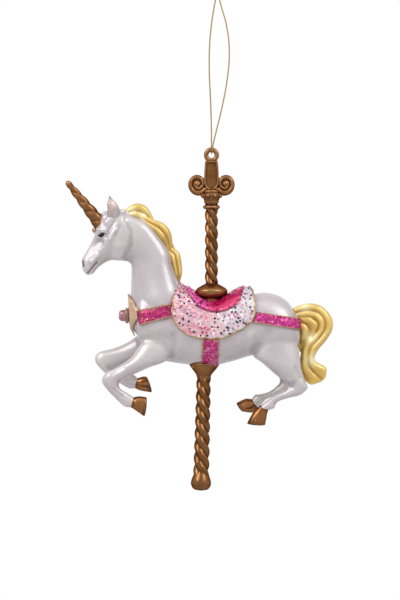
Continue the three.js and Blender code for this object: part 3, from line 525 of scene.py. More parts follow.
def node(tree, kind, inputs=None, **settings):
    made = tree.nodes.new(kind)
    for key, value in settings.items():
        setattr(made, key, value)
    for key, value in (inputs or {}).items():
        feed(tree, made.inputs[key], value)
    return made


def shaded(material, **sockets):
    """The material, with values or links given to its shader by name."""
    shader = material.node_tree.nodes["Principled BSDF"]
    for key, value in sockets.items():
        feed(material.node_tree, shader.inputs[key.replace("_", " ")], value)
    return material


def principled(name, **sockets):
    material = bpy.data.materials.new(name)
    material.use_nodes = True
    return shaded(material, **sockets), material.node_tree


def place(tree):
    return node(tree, "ShaderNodeTexCoord").outputs["Object"]


def noise(tree, scale, detail=3.0, roughness=0.55, distortion=0.0):
    inputs = {
        "Vector": place(tree), "Scale": scale, "Detail": detail,
        "Roughness": roughness, "Distortion": distortion,
    }
    return node(tree, "ShaderNodeTexNoise", inputs).outputs["Fac"]


def ramp(tree, factor, stops, steps=False):
    made = node(tree, "ShaderNodeValToRGB", {"Fac": factor})
    made.color_ramp.interpolation = "CONSTANT" if steps else "LINEAR"
    elements = made.color_ramp.elements
    while len(elements) < len(stops):
        elements.new(0.5)
    for element, (position, colour) in zip(elements, stops):
        element.position = position
        element.color = (*colour, 1)
    return made.outputs["Color"]


def mottled(tree, scale, *stops, detail=3):
    """Colours that change from patch to patch."""
    return ramp(tree, noise(tree, scale, detail), stops)


def spread(tree, factor, low, high, start=0, end=1):
    """A factor from start to end turned into a range of values."""
    inputs = {"Value": factor, "From Min": start, "From Max": end, "To Min": low, "To Max": high}
    return node(tree, "ShaderNodeMapRange", inputs).outputs["Result"]


def mixed(tree, factor, first, second, blend="MIX"):
    inputs = {0: factor, 6: first, 7: second}
    return node(tree, "ShaderNodeMix", inputs, data_type="RGBA", blend_type=blend).outputs[2]


def bump(tree, height, strength, distance):
    inputs = {"Height": height, "Strength": strength, "Distance": distance * MM}
    return node(tree, "ShaderNodeBump", inputs).outputs["Normal"]


def vectors(tree, operation, first, second=(0, 0, 0)):
    return node(tree, "ShaderNodeVectorMath", {0: first, 1: second}, operation=operation).outputs[0]


def hollows(tree):
    """0 in grooves and 1 on ridges, from the shape itself."""
    pointed = node(tree, "ShaderNodeNewGeometry").outputs["Pointiness"]
    return spread(tree, pointed, 0, 1, 0.42, 0.58)


def rearward(tree, front, rear):
    """0 at one place along the figure and 1 at another, in millimetres."""
    along = node(tree, "ShaderNodeSeparateXYZ", {"Vector": place(tree)}).outputs["X"]
    return spread(tree, along, 0, 1, front * MM, rear * MM)


def attribute(tree, name):
    """A number painted on the points of a piece."""
    return node(tree, "ShaderNodeAttribute", attribute_name=name).outputs["Fac"]


def overpainted(tree, base, name, colour, share=1):
    """A second colour where the points of a piece are painted with it."""
    return mixed(tree, spread(tree, attribute(tree, name), 0, share), base, (*colour, 1))


def surfaced(material, colour, rough, grain=None):
    """Colour, uneven roughness (noise scale, low, high) and grain (noise scale, detail, strength, height)."""
    tree = material.node_tree
    shaded(material, Base_Color=colour, Roughness=spread(tree, noise(tree, rough[0]), *rough[1:]))
    if grain:
        shaded(material, Normal=bump(tree, noise(tree, *grain[:2]), *grain[2:]))
    return material


def bronze_material(name, dark, bright, groove_share):
    """Casting with painted shade in its grooves and hollows and painted highlights on its ridges, darker at
    its edges by its edge tint.
    """
    material, tree = principled(name, Metallic=0.9, Specular_Tint=(0.22, 0.12, 0.06, 1))
    patches = mottled(tree, 260, (0.3, dark), (0.7, bright))
    # Painted shade in the hollows and painted highlight on the ridges, from the shape's pointiness
    stops = [(0.2, (0.04, 0.013, 0.003)), (0.5, dark), (0.9, (0.6, 0.34, 0.17))]
    shade_and_highlight = mixed(tree, 0.5, patches, ramp(tree, hollows(tree), stops))
    # Painted shade, near black where the points are painted as grooves
    base = overpainted(tree, shade_and_highlight, "groove", (0.014, 0.005, 0.0015), groove_share)
    return surfaced(material, base, (700, 0.19, 0.27), (500, 2, 0.05, 0.05))


def pearl_material():
    """Pearly white with painted shade in its hollows and creases and painted highlights on its ridges, pink
    inside the ears and inked in the lines of the face.
    """
    material, tree = principled("pearl_white", Coat_Weight=0.9, Coat_Roughness=0.21, Metallic=0.18)
    stops = [(0.1, (0.36, 0.295, 0.31)), (0.5, (0.55, 0.49, 0.51)), (0.9, (0.8, 0.765, 0.77))]
    # Painted shade in hollows and creases, painted highlight on ridges
    shade = ramp(tree, attribute(tree, "ridge"), stops)
    sheen = mottled(tree, 90, (0.35, (0.51, 0.44, 0.475)), (0.65, (0.64, 0.6, 0.59)))
    grain = mottled(tree, 700, (0.38, (0.94, 0.935, 0.94)), (0.62, (1, 1, 1)), detail=2)
    base = mixed(tree, 1.0, mixed(tree, 0.45, shade, sheen), grain, "MULTIPLY")
    pinked = overpainted(tree, base, "ear_paint", (0.56, 0.42, 0.38))
    inked = overpainted(tree, pinked, "line_paint", (0.05, 0.036, 0.036))
    return surfaced(material, inked, (420, 0.28, 0.4), (900, 2, 0.05, 0.05))


def hair_material():
    """Gold paint with painted shade between strands and painted highlights on their ridges, pale painted
    highlights in places and darker paint with painted shade in others.
    """
    material, tree = principled("hair_gold", Metallic=0.3, Coat_Weight=0.6, Coat_Roughness=0.15)
    stops = [(0.05, (0.2, 0.085, 0.01)), (0.35, (0.48, 0.26, 0.035)), (0.6, (0.7, 0.44, 0.08)),
             (0.9, (0.92, 0.7, 0.23))]
    # Painted shade in the hollows between strands and painted highlight on their ridges
    shade_and_highlight = ramp(tree, attribute(tree, "ridge"), stops)
    patches = mottled(tree, 130, (0.35, (0.56, 0.32, 0.04)), (0.65, (0.84, 0.58, 0.13)))
    # Pale painted highlights, then darker paint with painted shade, where the points are painted with them
    lit = overpainted(tree, mixed(tree, 0.45, shade_and_highlight, patches), "cream", (0.98, 0.88, 0.5))
    base = overpainted(tree, lit, "brown", (0.42, 0.21, 0.025))
    return surfaced(material, base, (600, 0.22, 0.36), (700, 2, 0.05, 0.05))


def glitter_material(name, stops, rear_stops, grain, metallic, roughness, tilt):
    """Flakes of colour in clear lacquer, each cell with its own colour and slant."""
    material, tree = principled(name, Metallic=metallic, Roughness=roughness, Coat_Weight=0.4)
    inputs = {"Vector": place(tree), "Scale": 1 / (grain * MM)}
    cell = node(tree, "ShaderNodeTexVoronoi", inputs).outputs["Color"]
    pick = node(tree, "ShaderNodeSeparateColor", {"Color": cell}).outputs["Red"]
    tones = [ramp(tree, pick, colours, steps=True) for colours in (stops, rear_stops)]
    centred = vectors(tree, "SUBTRACT", cell, (0.5, 0.5, 0.5))
    slant = vectors(tree, "MULTIPLY", centred, (tilt, tilt, tilt))
    leant = vectors(tree, "ADD", node(tree, "ShaderNodeNewGeometry").outputs["Normal"], slant)
    tone = mixed(tree, rearward(tree, -3, 9), *tones)
    return shaded(material, Base_Color=tone, Normal=vectors(tree, "NORMALIZE", leant))


def pink_glitter_material():
    front = [(0.0, (0.36, 0.003, 0.08)), (0.25, (0.48, 0.006, 0.11)), (0.5, (0.54, 0.012, 0.14)),
             (0.74, (0.4, 0.003, 0.08)), (0.86, (0.66, 0.06, 0.24)), (0.95, (0.62, 0.28, 0.24))]
    rear = [(0.0, (0.42, 0.004, 0.13)), (0.25, (0.58, 0.012, 0.24)), (0.5, (0.68, 0.03, 0.33)),
            (0.74, (0.5, 0.005, 0.16)), (0.86, (0.76, 0.1, 0.42)), (0.95, (0.8, 0.3, 0.46))]
    return glitter_material("pink_glitter", front, rear, 0.9, 0.3, 0.26, 0.5)


def saddle_material():
    """Streaked crimson enamel, lighter pink in front, partly its own colour and partly a painted highlight.
    """
    material, tree = principled("saddle_enamel", Metallic=0.2, Coat_Weight=0.35, Coat_Roughness=0.1)
    stops = [(0.3, (0.38, 0.002, 0.05)), (0.46, (0.6, 0.005, 0.09)),
             (0.6, (0.66, 0.012, 0.14)), (0.78, (0.8, 0.1, 0.36))]
    streaks = ramp(tree, noise(tree, 300, 5, 0.7, 1.6), stops)
    # Lighter pink in front: the enamel's colour and a painted highlight
    tone = mixed(tree, rearward(tree, -4, 1), (0.88, 0.13, 0.47, 1), streaks)
    return surfaced(material, tone, (800, 0.14, 0.3), (700, 3, 0.22, 0.12))


def pale_glitter_material():
    front = [(0.0, (0.76, 0.36, 0.42)), (0.3, (0.78, 0.47, 0.52)), (0.6, (0.7, 0.24, 0.33)),
             (0.68, (0.8, 0.64, 0.68)), (0.86, (0.52, 0.36, 0.52)), (0.93, (0.78, 0.46, 0.47))]
    rear = [(0.0, (0.67, 0.6, 0.63)), (0.3, (0.71, 0.66, 0.69)), (0.6, (0.72, 0.48, 0.55)),
            (0.68, (0.72, 0.69, 0.71)), (0.88, (0.5, 0.43, 0.6)), (0.94, (0.74, 0.58, 0.61))]
    return glitter_material("pale_glitter", front, rear, 1.1, 0.12, 0.25, 0.5)


def tinted_flakes(name, colours, metallic):
    """Chips whose colour is picked by the tint of each."""
    material, tree = principled(name, Metallic=metallic, Roughness=0.2, Coat_Weight=0.25)
    stops = [(k / len(colours), colour) for k, colour in enumerate(colours)]
    tone = ramp(tree, attribute(tree, "flake"), stops, steps=True)
    grain = mottled(tree, 2600, (0.35, (0.78, 0.78, 0.78)), (0.65, (1, 1, 1)), detail=2)
    return shaded(material, Base_Color=mixed(tree, 1.0, tone, grain, "MULTIPLY"))


# Metal with painted shade in its hollows and painted highlights on its ridges, mixed with patches of its own
# tones
def shaded_metal_material(name, dark, bright, metallic, roughness):
    material, tree = principled(name, Metallic=metallic, Coat_Weight=0.3, Coat_Roughness=0.12)
    shade_and_highlight = ramp(tree, hollows(tree), [(0.2, dark), (0.75, bright)])
    base = mixed(tree, 0.4, shade_and_highlight, mottled(tree, 320, (0.35, dark), (0.65, bright)))
    return surfaced(material, base, (900, roughness - 0.07, roughness + 0.08), (1500, 2, 0.14, 0.05))


def gem_material(name, core, rim):
    """Cloudy glass."""
    material, tree = principled(name, Transmission_Weight=0.35, IOR=1.6, Roughness=0.06)
    clouds = ramp(tree, noise(tree, 420, 3, 0.6, 0.8), [(0.35, core), (0.66, rim)])
    return shaded(material, Base_Color=clouds, Coat_Weight=1.0, Coat_Roughness=0.03)


def eye_material():
    material, tree = principled("painted_eye", Specular_IOR_Level=0.25)
    tone = mottled(tree, 1500, (0.3, (0.002, 0.002, 0.003)), (0.7, (0.012, 0.01, 0.012)), detail=2)
    return surfaced(material, tone, (1200, 0.3, 0.42))


def thread_material():
    """Gold thread with the lay of its strands."""
    material, tree = principled("gold_thread", Metallic=0.75)
    inputs = {"Vector": place(tree), "Scale": 900, "Distortion": 1.5}
    lay = node(tree, "ShaderNodeTexWave", inputs, bands_direction="DIAGONAL").outputs["Fac"]
    tone = ramp(tree, lay, [(0.2, (0.2, 0.12, 0.03)), (0.8, (0.5, 0.36, 0.13))])
    shaded(material, Normal=bump(tree, lay, 0.4, 0.06))
    return surfaced(material, tone, (1200, 0.25, 0.45))


def floor_material():
    material, tree = principled("pale_floor", Roughness=0.7)
    tone = mottled(tree, 6, (0.3, (0.84, 0.84, 0.85)), (0.7, (0.88, 0.88, 0.88)), detail=2)
    return shaded(material, Base_Color=tone)


# Chips in the lacquer: dark plum, violet, crimson, rose, light pink, white, lilac and peach on the blanket
FLAKE_COLOURS = [
    (0.014, 0.006, 0.02), (0.07, 0.05, 0.24), (0.52, 0.01, 0.1), (0.76, 0.16, 0.28),
    (0.76, 0.43, 0.5), (0.72, 0.69, 0.71), (0.46, 0.37, 0.58), (0.76, 0.46, 0.38),
]
FRONT_SHARES = (18, 8, 6, 18, 35, 7, 4, 4)
REAR_SHARES = (19, 8, 4, 8, 24, 26, 9, 2)
# Wine, magenta, hot pink, light pink and gold on the straps
SPARKLE_COLOURS = [
    (0.36, 0.003, 0.09), (0.56, 0.01, 0.22), (0.7, 0.05, 0.34), (0.74, 0.26, 0.42), (0.6, 0.34, 0.2),
]
SPARKLE_SHARES = {
    "breast_strap": (50, 28, 8, 4, 10),
    "rear_strap": (22, 46, 28, 3, 1),
    "girth": (10, 30, 32, 20, 8),
}
SADDLE_SHARES = (48, 38, 10, 4, 0)

BRONZE = bronze_material("antique_bronze", (0.17, 0.068, 0.02), (0.38, 0.19, 0.085), 0.85)
WARM_BRONZE = bronze_material("warm_bronze", (0.23, 0.09, 0.03), (0.42, 0.21, 0.095), 0.6)
PEARL = pearl_material()
HAIR = hair_material()
PINK = pink_glitter_material()
ENAMEL = saddle_material()
PALE = pale_glitter_material()
FLAKES = tinted_flakes("flake_mix", FLAKE_COLOURS, 0.3)
SPARKLE = tinted_flakes("strap_sparkle", SPARKLE_COLOURS, 0.5)
ROSE_GOLD = shaded_metal_material("rose_gold", (0.38, 0.21, 0.12), (0.74, 0.5, 0.36), 0.5, 0.28)
PIPING = shaded_metal_material("piping_gold", (0.13, 0.085, 0.025), (0.44, 0.31, 0.11), 0.6, 0.34)
# Darker gold for the gem's cup: painted shade of the gap round the gem
CUP_IN_SHADE = shaded_metal_material("cup_gold_in_shade", (0.16, 0.085, 0.05), (0.36, 0.22, 0.14), 0.6, 0.3)
SETTING = shaded_metal_material("setting_gold", (0.4, 0.24, 0.08), (0.85, 0.62, 0.3), 0.8, 0.26)
STEEL = shaded_metal_material("peg_steel", (0.25, 0.25, 0.25), (0.5, 0.5, 0.49), 0.9, 0.35)
GEM = gem_material("pink_gem", (0.34, 0.07, 0.13), (0.6, 0.26, 0.33))
EYE = eye_material()
THREAD = thread_material()


# Metalwork of the pole
def cast(name, form, cad_node, bronze=BRONZE, **paint):
    """A bronze casting in place of a CAD node."""
    piece(name, form, bronze, "antique_bronze", [cad_node], **paint)


def torus(radius, wire, turns=72, sides=28):
    """A ring that stands in the x, z plane."""
    angle = around(sides)
    points, faces = [], []
    for k, turn in enumerate(around(turns)):
        reach = radius + wire * np.cos(angle)
        points.append(np.stack([reach * math.cos(turn), wire * np.sin(angle), reach * math.sin(turn)], 1))
        for i in range(sides):
            corners = ((k, i), (k, i + 1), (k + 1, i + 1), (k + 1, i))
            faces.append(tuple(a % turns * sides + b % sides for a, b in corners))
    return np.vstack(points), faces


def eye_ring():
    low, high = node_box("hanging_eye")
    wire = (high[1] - low[1]) / 2
    cast("eye_ring", torus((high[0] - low[0]) / 2 - wire, wire), "hanging_eye")


BLADE_WIDTHS = (5.6, 6.6)
BLADE_LENGTH = 13
# How far the blade's outline is drawn in, and its depth there, from the middle of a face to the rim
BLADE_STEPS = [(1.6, 0.95), (1.05, 1.0), (0.85, 1.2), (0.75, 1.48), (0.45, 1.5), (0.15, 1.4), (0.0, 1.15)]
BAND_DIAMETER = 7.4
BAND_HEIGHT = 1.5
FUNNEL_DIAMETERS = (9.4, 5.8)
FUNNEL_HEIGHT = 4.6
SCROLL_RADIUS = 3.5
SCROLL_OFFSET = 6.1
SCROLL_RISE = 2.73
SCROLL_WIRE = 3.1
SCROLL_BOSS = 2.8
SCROLL_START = math.radians(-150)
SCROLL_TURN = 1.7 * 2 * math.pi
SCROLL_STRETCH = 1.1
SCROLL_WEB = 0.7
FINIAL_BEADS = 8
FINIAL_BEAD = 1.9


def blade_ring(inset, depth, top, band):
    """The blade's outline drawn in by inset, at one depth."""
    narrow, wide = BLADE_WIDTHS[0] / 2 - inset, BLADE_WIDTHS[1] / 2 - inset
    shoulder, waist = top - BLADE_LENGTH * 0.66, top - BLADE_LENGTH * 0.35
    head, hip, foot = top - inset, band + inset, band - BAND_HEIGHT / 2 + inset * 1.5
    outline = [
        (-narrow, head), (-wide, waist), (-wide, shoulder), (-wide, hip), (0, foot), (wide, hip),
        (wide, shoulder), (wide, waist), (narrow, head), (0, head), (-narrow, head),
    ]
    return [(x, depth, z) for x, z in bent(outline, 12)]


def blade(top, band):
    steps = [(i, -d) for i, d in BLADE_STEPS] + BLADE_STEPS[::-1]
    return loft([blade_ring(inset, depth, top, band) for inset, depth in steps])


def scroll(side, level):
    """A curl beside the blade, with a boss in its middle and a thin web."""
    ribs = []
    for f in np.linspace(0, 1, 40):
        angle = SCROLL_START + f * SCROLL_TURN
        radius = SCROLL_RADIUS * (1.12 - 0.88 * f)
        wire = SCROLL_WIRE / 2 * (1 - 0.5 * f)
        rib = []
        for r in (radius + wire * 0.8, radius - wire * 0.8):
            rib.append(side * (SCROLL_OFFSET + r * math.cos(angle)))
            rib.append(level + r * SCROLL_STRETCH * math.sin(angle))
        ribs.append((*rib, wire * 1.1, 0))
    middle = (side * SCROLL_OFFSET, 0, level)
    boss = ball(middle, [SCROLL_BOSS / 2] * 3)
    web = ball(middle, (SCROLL_RADIUS, SCROLL_WEB, SCROLL_RADIUS * SCROLL_STRETCH))
    return [rib_form(ribs, 2, 20, caps=(0.5, 0.5)), boss, web]


def cross_band(low, high):
    half, foot = BAND_DIAMETER / 2, low - 0.4
    belt = [(0, foot), (half - 0.6, foot), (half, low + BAND_HEIGHT / 2), (half - 0.6, high), (0, high)]
    return lathe(belt)


def funnel(top):
    """The cup under the band, with beads round its rim."""
    wide, narrow = (diameter / 2 for diameter in FUNNEL_DIAMETERS)
    foot, waist = top - FUNNEL_HEIGHT, top - FUNNEL_HEIGHT * 0.6
    cup = [(0, foot), (narrow, foot), (narrow + 0.5, waist), (wide, top - 0.5), (wide - 0.7, top), (0, top)]
    forms = [lathe(cup)]
    reach = wide - FINIAL_BEAD * 0.25
    for k in range(FINIAL_BEADS):
        turn = (k + 0.5) / FINIAL_BEADS * 2 * math.pi
        centre = (reach * math.cos(turn), reach * math.sin(turn), top - FINIAL_BEAD * 0.6)
        forms.append(ball(centre, [FINIAL_BEAD / 2] * 3))
    return forms


def finial():
    top = node_box("finial")[1][2]
    band = top - BLADE_LENGTH
    level = band + SCROLL_RISE
    foot = band - BAND_HEIGHT
    forms = [blade(top, band), *scroll(-1, level), *scroll(1, level), cross_band(foot, band), *funnel(foot)]
    form = relaxed(remeshed(merged(forms), 0.14), 5)
    # Painted shade in the casting's hollows, given as groove paint
    cast("finial_casting", form, "finial", groove=np.clip(1.12 - 2 * ridge_share(form, 14, 0.07), 0, 1))


def collar():
    (_, _, foot), (reach, _, top) = node_box("pole_collar")
    middle, neck = (foot + top) / 2, top + JOIN
    bead = [(0, foot), (reach * 0.76, foot), (reach, middle), (reach * 0.72, top), (2.4, neck), (0, neck)]
    cast("collar_bead", lathe(bead), "pole_collar")


def upper_rope():
    low, high = node_box("upper_pole")
    width = high[1] - low[1]
    twist, groove = rope(high[2] - low[2] + 2 * JOIN, width, width, ROPE_STRANDS, ROPE_LEAD, ROPE_GROOVE)
    cast("upper_rope", placed(twist, (0, 0, high[2] + JOIN)), "upper_pole", groove=groove)


def flange():
    low, high = node_box("upper_flange")
    reach, height = high[0], high[2] - low[2]
    bun = [
        (0, -2), (4, -2), (4.2, 0), (reach * 0.93, height * 0.26), (reach, height * 0.5),
        (reach * 0.9, height * 0.68), (reach * 0.68, height * 0.84),
        (2.9, height), (1.8, height + 1), (0, height + 1),
    ]
    cast("flange_bun", placed(lathe(bun), (0, 0, low[2])), "upper_flange")


# Lower end of the pole: its lean in degrees, its place and its parts
LOWER_LEAN = 1.5
LOWER_X = -3.3
BELLY_DROP = 29.6
FERRULE_DIAMETERS = (13, 6)
FERRULE_HEIGHT = 5.6
LOWER_DIAMETERS = (6.5, 7.2)
LOWER_LENGTH = 41
KNOB_DIAMETER = 9
KNOB_HEIGHT = 8.6
# Share of painted shade laid evenly over the knob
KNOB_SHADE = 0.3
GAP = 0.3
STRAND_ENDS = 2.6


def below_belly(form, drop=0):
    """The form on the lower axis, at its drop below the belly."""
    return placed(placed(form, (0, 0, -drop)), (LOWER_X, 0, SEAT - BELLY_DROP), LOWER_LEAN)


def ferrule():
    top, foot = (diameter / 2 for diameter in FERRULE_DIAMETERS)
    end = -FERRULE_HEIGHT
    cone = [
        (0, end - 1), (foot - 0.9, end - 1), (foot, end), (foot + 0.5, end * 0.72),
        (top * 0.86, end * 0.24), (top, 0), (top - 0.2, 0.9), (0, 1.4),
    ]
    cast("ferrule_cone", below_belly(lathe(cone)), "lower_ferrule")


def lower_rope():
    length = LOWER_LENGTH + JOIN + STRAND_ENDS
    twist, groove = rope(length, *LOWER_DIAMETERS, ROPE_STRANDS, ROPE_LEAD, ROPE_GROOVE)
    cast("lower_rope", below_belly(twist, FERRULE_HEIGHT + GAP - JOIN), "lower_pole", groove=groove)


def knob():
    """Pear-shaped knob that grips the strands' ends."""
    width, tall, neck = KNOB_DIAMETER, KNOB_HEIGHT, LOWER_DIAMETERS[1] / 2
    pear = lathe([
        (0, 0), (width * 0.35, tall * 0.08), (width / 2, tall * 0.36), (width * 0.43, tall * 0.7),
        (neck - ROPE_GROOVE, tall), (neck - 1.6, tall + 1.5), (0, tall + 1.5),
    ])
    drop = FERRULE_HEIGHT + LOWER_LENGTH + 2 * GAP + tall
    cast("knob_pear", below_belly(pear, drop), "pole_knob", groove=np.full(len(pear[0]), KNOB_SHADE))


# Figure
def near(distance, reach, power=2):
    """1 at no distance, and 0 well beyond the reach."""
    return np.exp(-(distance / reach) ** power)


def side_distance(points, path):
    """Distance in the side view from each point to a line of x, z points."""
    flat = points[:, [0, 2]]
    nearest = np.full(len(points), 1e9)
    for start, end in zip(path, path[1:]):
        start, end = np.array(start, float), np.array(end, float)
        along = end - start
        share = np.clip((flat - start) @ along / along.dot(along), 0, 1)
        nearest = np.minimum(nearest, np.linalg.norm(flat - start - share[:, None] * along, axis=1))
    return nearest


def pressed(points, normals, path, width, depth, side=0):
    """Points pushed in along a line in the side view, or out by a negative depth, on one side or both."""
    share = near(side_distance(points, path), width) * np.clip(np.abs(normals[:, 1]) * 1.6, 0, 1)
    if side:
        share = share * (points[:, 1] * side > 0)
    return points - normals * (share * depth)[:, None]


EYE_PLACE = (-48.6, 28.3)
EYE_SOCKET = [EYE_PLACE, (-48.59, 28.3)]
NOSTRIL = [(-57.3, 16.6), (-57, 14.6)]
MOUTH = [(-54.9, 11.6), (-53.6, 13), (-52.2, 14.8), (-50.8, 16.2)]
EAR_INSIDE = [(-45.1, 37.4), (-44.6, 40), (-45.2, 42)]
# Flat face along each side of the nose: its line, the way the near one faces, depth, taper kept and reach
NOSE_LINE = [(-49.8, 24.8), (-55.8, 18.1)]
NOSE_FACING = (-0.338, -0.879, 0.335)
NOSE_CUT = 0.22
NOSE_TAPER = 0.35
NOSE_REACH = 2.4
# Lines in the face: x, z points, width and depth (negative stands out)
FACE_LINES = [
    (EYE_SOCKET, 2.2, 0.5),
    (NOSTRIL, 0.7, 0.7),
    (MOUTH, 0.45, 0.5),
    ([(-46.4, 34.2), (-44.6, 36.6)], 1.1, -0.6),
    ([(-42.9, 30.6), (-45.4, 26.4)], 0.8, -0.6),
    ([(-43.2, 34), (-45.2, 30.6), (-47, 27.4)], 0.8, 0.5),
    ([(-40.6, 32), (-42.6, 28)], 0.8, 0.35),
    ([(-49.8, 30.7), (-47.2, 30.4)], 0.8, -0.6),
    ([(-53.2, 16.6), (-50.4, 19.4)], 0.8, -0.55),
    ([(-38.4, 35), (-35.6, 29), (-36, 23.5), (-38.4, 18)], 1.1, 0.6),
    ([(-40.4, 38.6), (-39.2, 38.8)], 0.9, -0.5),
]
CREASES = [
    ([(16.4, -24.8), (16.9, -20), (17.4, -16)], 2.2, -0.35),
    ([(-17.4, -24.6), (-16.6, -21), (-16.8, -16)], 1.5, 0.35),
    ([(-27, -16.6), (-18.5, -17.6)], 3, 0.7),
    ([(19.4, -22), (21, -18.5), (25, -15.4)], 2.6, 0.6),
]
# Tufts of forelock between the horn and the mane: x, z, radius
TUFTS = [(-47.4, 37.4, 1.6), (-46, 37.8, 1.4), (-39.4, 38.4, 1.7), (-37.6, 38, 1.2)]
TENDONS = [
    ([(36.2, -37.4), (35.4, -39)], 1.3, 0.55),
    ([(37.2, -30.5), (39.6, -35)], 0.8, 0.35),
    ([(-43.6, -39.6), (-39.6, -43)], 0.7, 0.3),
    ([(-39, -30.6), (-44, -33.4)], 0.8, 0.25),
]


def skin_form():
    """Body, legs and tufts fused, with fillets between them, and the ears."""
    grow = SKIN_BLEND
    forms = [
        rib_form(TORSO, grow=grow, caps=(1.4, 1.4), egg=0.1),
        rib_form(NECK, grow=grow, egg=0.25),
        rib_form(HEAD, grow=grow, caps=(1, 0.9)),
        rib_form(CHEEK, grow=grow, caps=(1.2, 1.2)),
    ]
    forms += [rib_form(ribs, sides=28, grow=grow, caps=(1, 0)) for ribs in LEGS.values()]
    forms += [ball((x, y, z), [radius + grow] * 3) for x, z, radius in TUFTS for y in (-1.2, 1.2)]
    skin = relaxed(remeshed(merged(forms), SKIN_VOXEL), 60, TO_AND_FRO)
    points, faces = skin
    skin = relaxed((points - normals_of(skin) * grow, faces), 8)
    return merged([sculpted(skin), *ear_forms()])


def ear_forms():
    """Pricked ears, hollowed on their outer sides."""
    ears = []
    for side in (-1, 1):
        ear = rib_form([(*rib[:5], -side * rib[5]) for rib in EAR], 10, 40, caps=(0.5, 0.4))
        points, faces = ear
        ears.append((pressed(points, normals_of(ear), EAR_INSIDE, 1.2, 0.9, side), faces))
    return ears


def planed(points):
    """Points cut back to one flat face along each side of the nose."""
    ends = [np.array(end) for end in NOSE_LINE]
    along = ends[1] - ends[0]
    flat = points[:, [0, 2]]
    share = (flat - ends[0]) @ along / along.dot(along)
    fade = near(side_distance(points, NOSE_LINE), NOSE_REACH, 4)
    for side in (-1, 1):
        facing = np.array(NOSE_FACING) * (1, -side, 1)
        out = points @ facing
        mine = points[:, 1] * side > 0
        tops = [out[mine & (np.linalg.norm(flat - end, axis=1) < NOSE_REACH / 2)].max() for end in ends]
        level = tops[1] + (tops[0] - tops[1]) * (1 - share) * NOSE_TAPER - NOSE_CUT
        over = np.where(mine, np.clip(out - level, 0, None) * fade, 0)
        points = points - facing * over[:, None]
    return points


def sculpted(skin):
    """The skin with its face, the creases of its body and the tendons of its near legs."""
    points, faces = skin
    normals = normals_of(skin)
    points = planed(points)
    for line in FACE_LINES + CREASES:
        points = pressed(points, normals, *line)
    for line in TENDONS:
        points = pressed(points, normals, *line, side=-1)
    return relaxed((points, faces), 1)


# Painted ears: level where the pink begins, distance from the middle, and level of the dark tips
EAR_FOOT = 38.6
EAR_INNER = 1.4
EAR_TIP = 43.6


def unicorn_skin():
    """One skin over body and legs, and its faces for what lies on it."""
    skin = skin_form()
    points = skin[0]
    ear = near(side_distance(points, EAR_INSIDE), 2.2, 4)
    ear *= (points[:, 2] > EAR_FOOT) & (np.abs(points[:, 1]) > EAR_INNER)
    mouth = near(side_distance(points, MOUTH), 0.32, 4) * 0.85
    nostril = near(side_distance(points, NOSTRIL), 0.55, 4)
    tip = np.clip((points[:, 2] - EAR_TIP) / 1.2, 0, 1) * 0.7
    # ridge carries the pearl's painted shade in hollows and creases and painted highlights on ridges
    piece("unicorn_skin", on_seat(skin), PEARL, "pearl_white", ["horse_body", *LEGS],
          ridge=ridge_share(skin, 24, 0.24), ear_paint=ear, line_paint=np.max([mouth, nostril, tip], axis=0))
    return tree_of(skin)


def struck(tree, rays):
    """Where rays strike a form, each given as a start and a direction."""
    hits = [tree.ray_cast(Vector(start), Vector(ahead))[0] for start, ahead in rays]
    return np.array([hit for hit in hits if hit is not None]).reshape(-1, 3)


def draped(tree, path, side, lift):
    """Points on one side of a form over x, z places, lifted off it."""
    spots = struck(tree, [((x, side * 60, z), (0, -side, 0)) for x, z in path])
    return spots[spots[:, 1] * side > 1.5] + np.array([0, side * lift, 0])


EYE_HALF = (1.65, 0.5, 1.0)
EYE_TILT = -14
# Lines round the eye: x, z points from its middle, lift from the skin and radius
BROW = ([(-1.9, 0.9), (-0.9, 1.35), (0.3, 1.5), (1.5, 1.1), (2, 0.4)], -0.06, 0.26)
LASHES = ([(-2, -0.3), (-1.2, 0.3), (-0.2, 0.75), (0.8, 0.8), (1.5, 0.4)], 0.02, 0.15)
LOWER_LID = ([(-1.7, -0.6), (-0.7, -1.05), (0.5, -0.9), (1.5, -0.1)], -0.06, 0.26)


def eyes(tree):
    """Black almond eyes with a lash line, between a brow and a lower lid."""
    black, lids = [], []
    for side in (-1, 1):
        points, faces = ball((0, 0, 0), (1, 1, 1))
        points[:, 2] *= 1 - 0.45 * np.abs(points[:, 0])
        middle = draped(tree, [EYE_PLACE], side, -0.1)[0]
        black.append(placed((points * np.array(EYE_HALF), faces), middle, EYE_TILT))
        for (path, lift, radius), forms in ((LASHES, black), (BROW, lids), (LOWER_LID, lids)):
            rows = smooth_rows(np.array(path) + EYE_PLACE, 6)
            forms.append(tube(draped(tree, rows, side, lift), radius))
    piece("eyes", on_seat(merged(black)), EYE, "pearl_white")
    lids = merged(lids)
    # The lids take the pearl's painted highlight at one even level
    piece("eyelids", on_seat(lids), PEARL, "pearl_white", ridge=np.full(len(lids[0]), 0.7))


SOLE_ROUND = 0.6


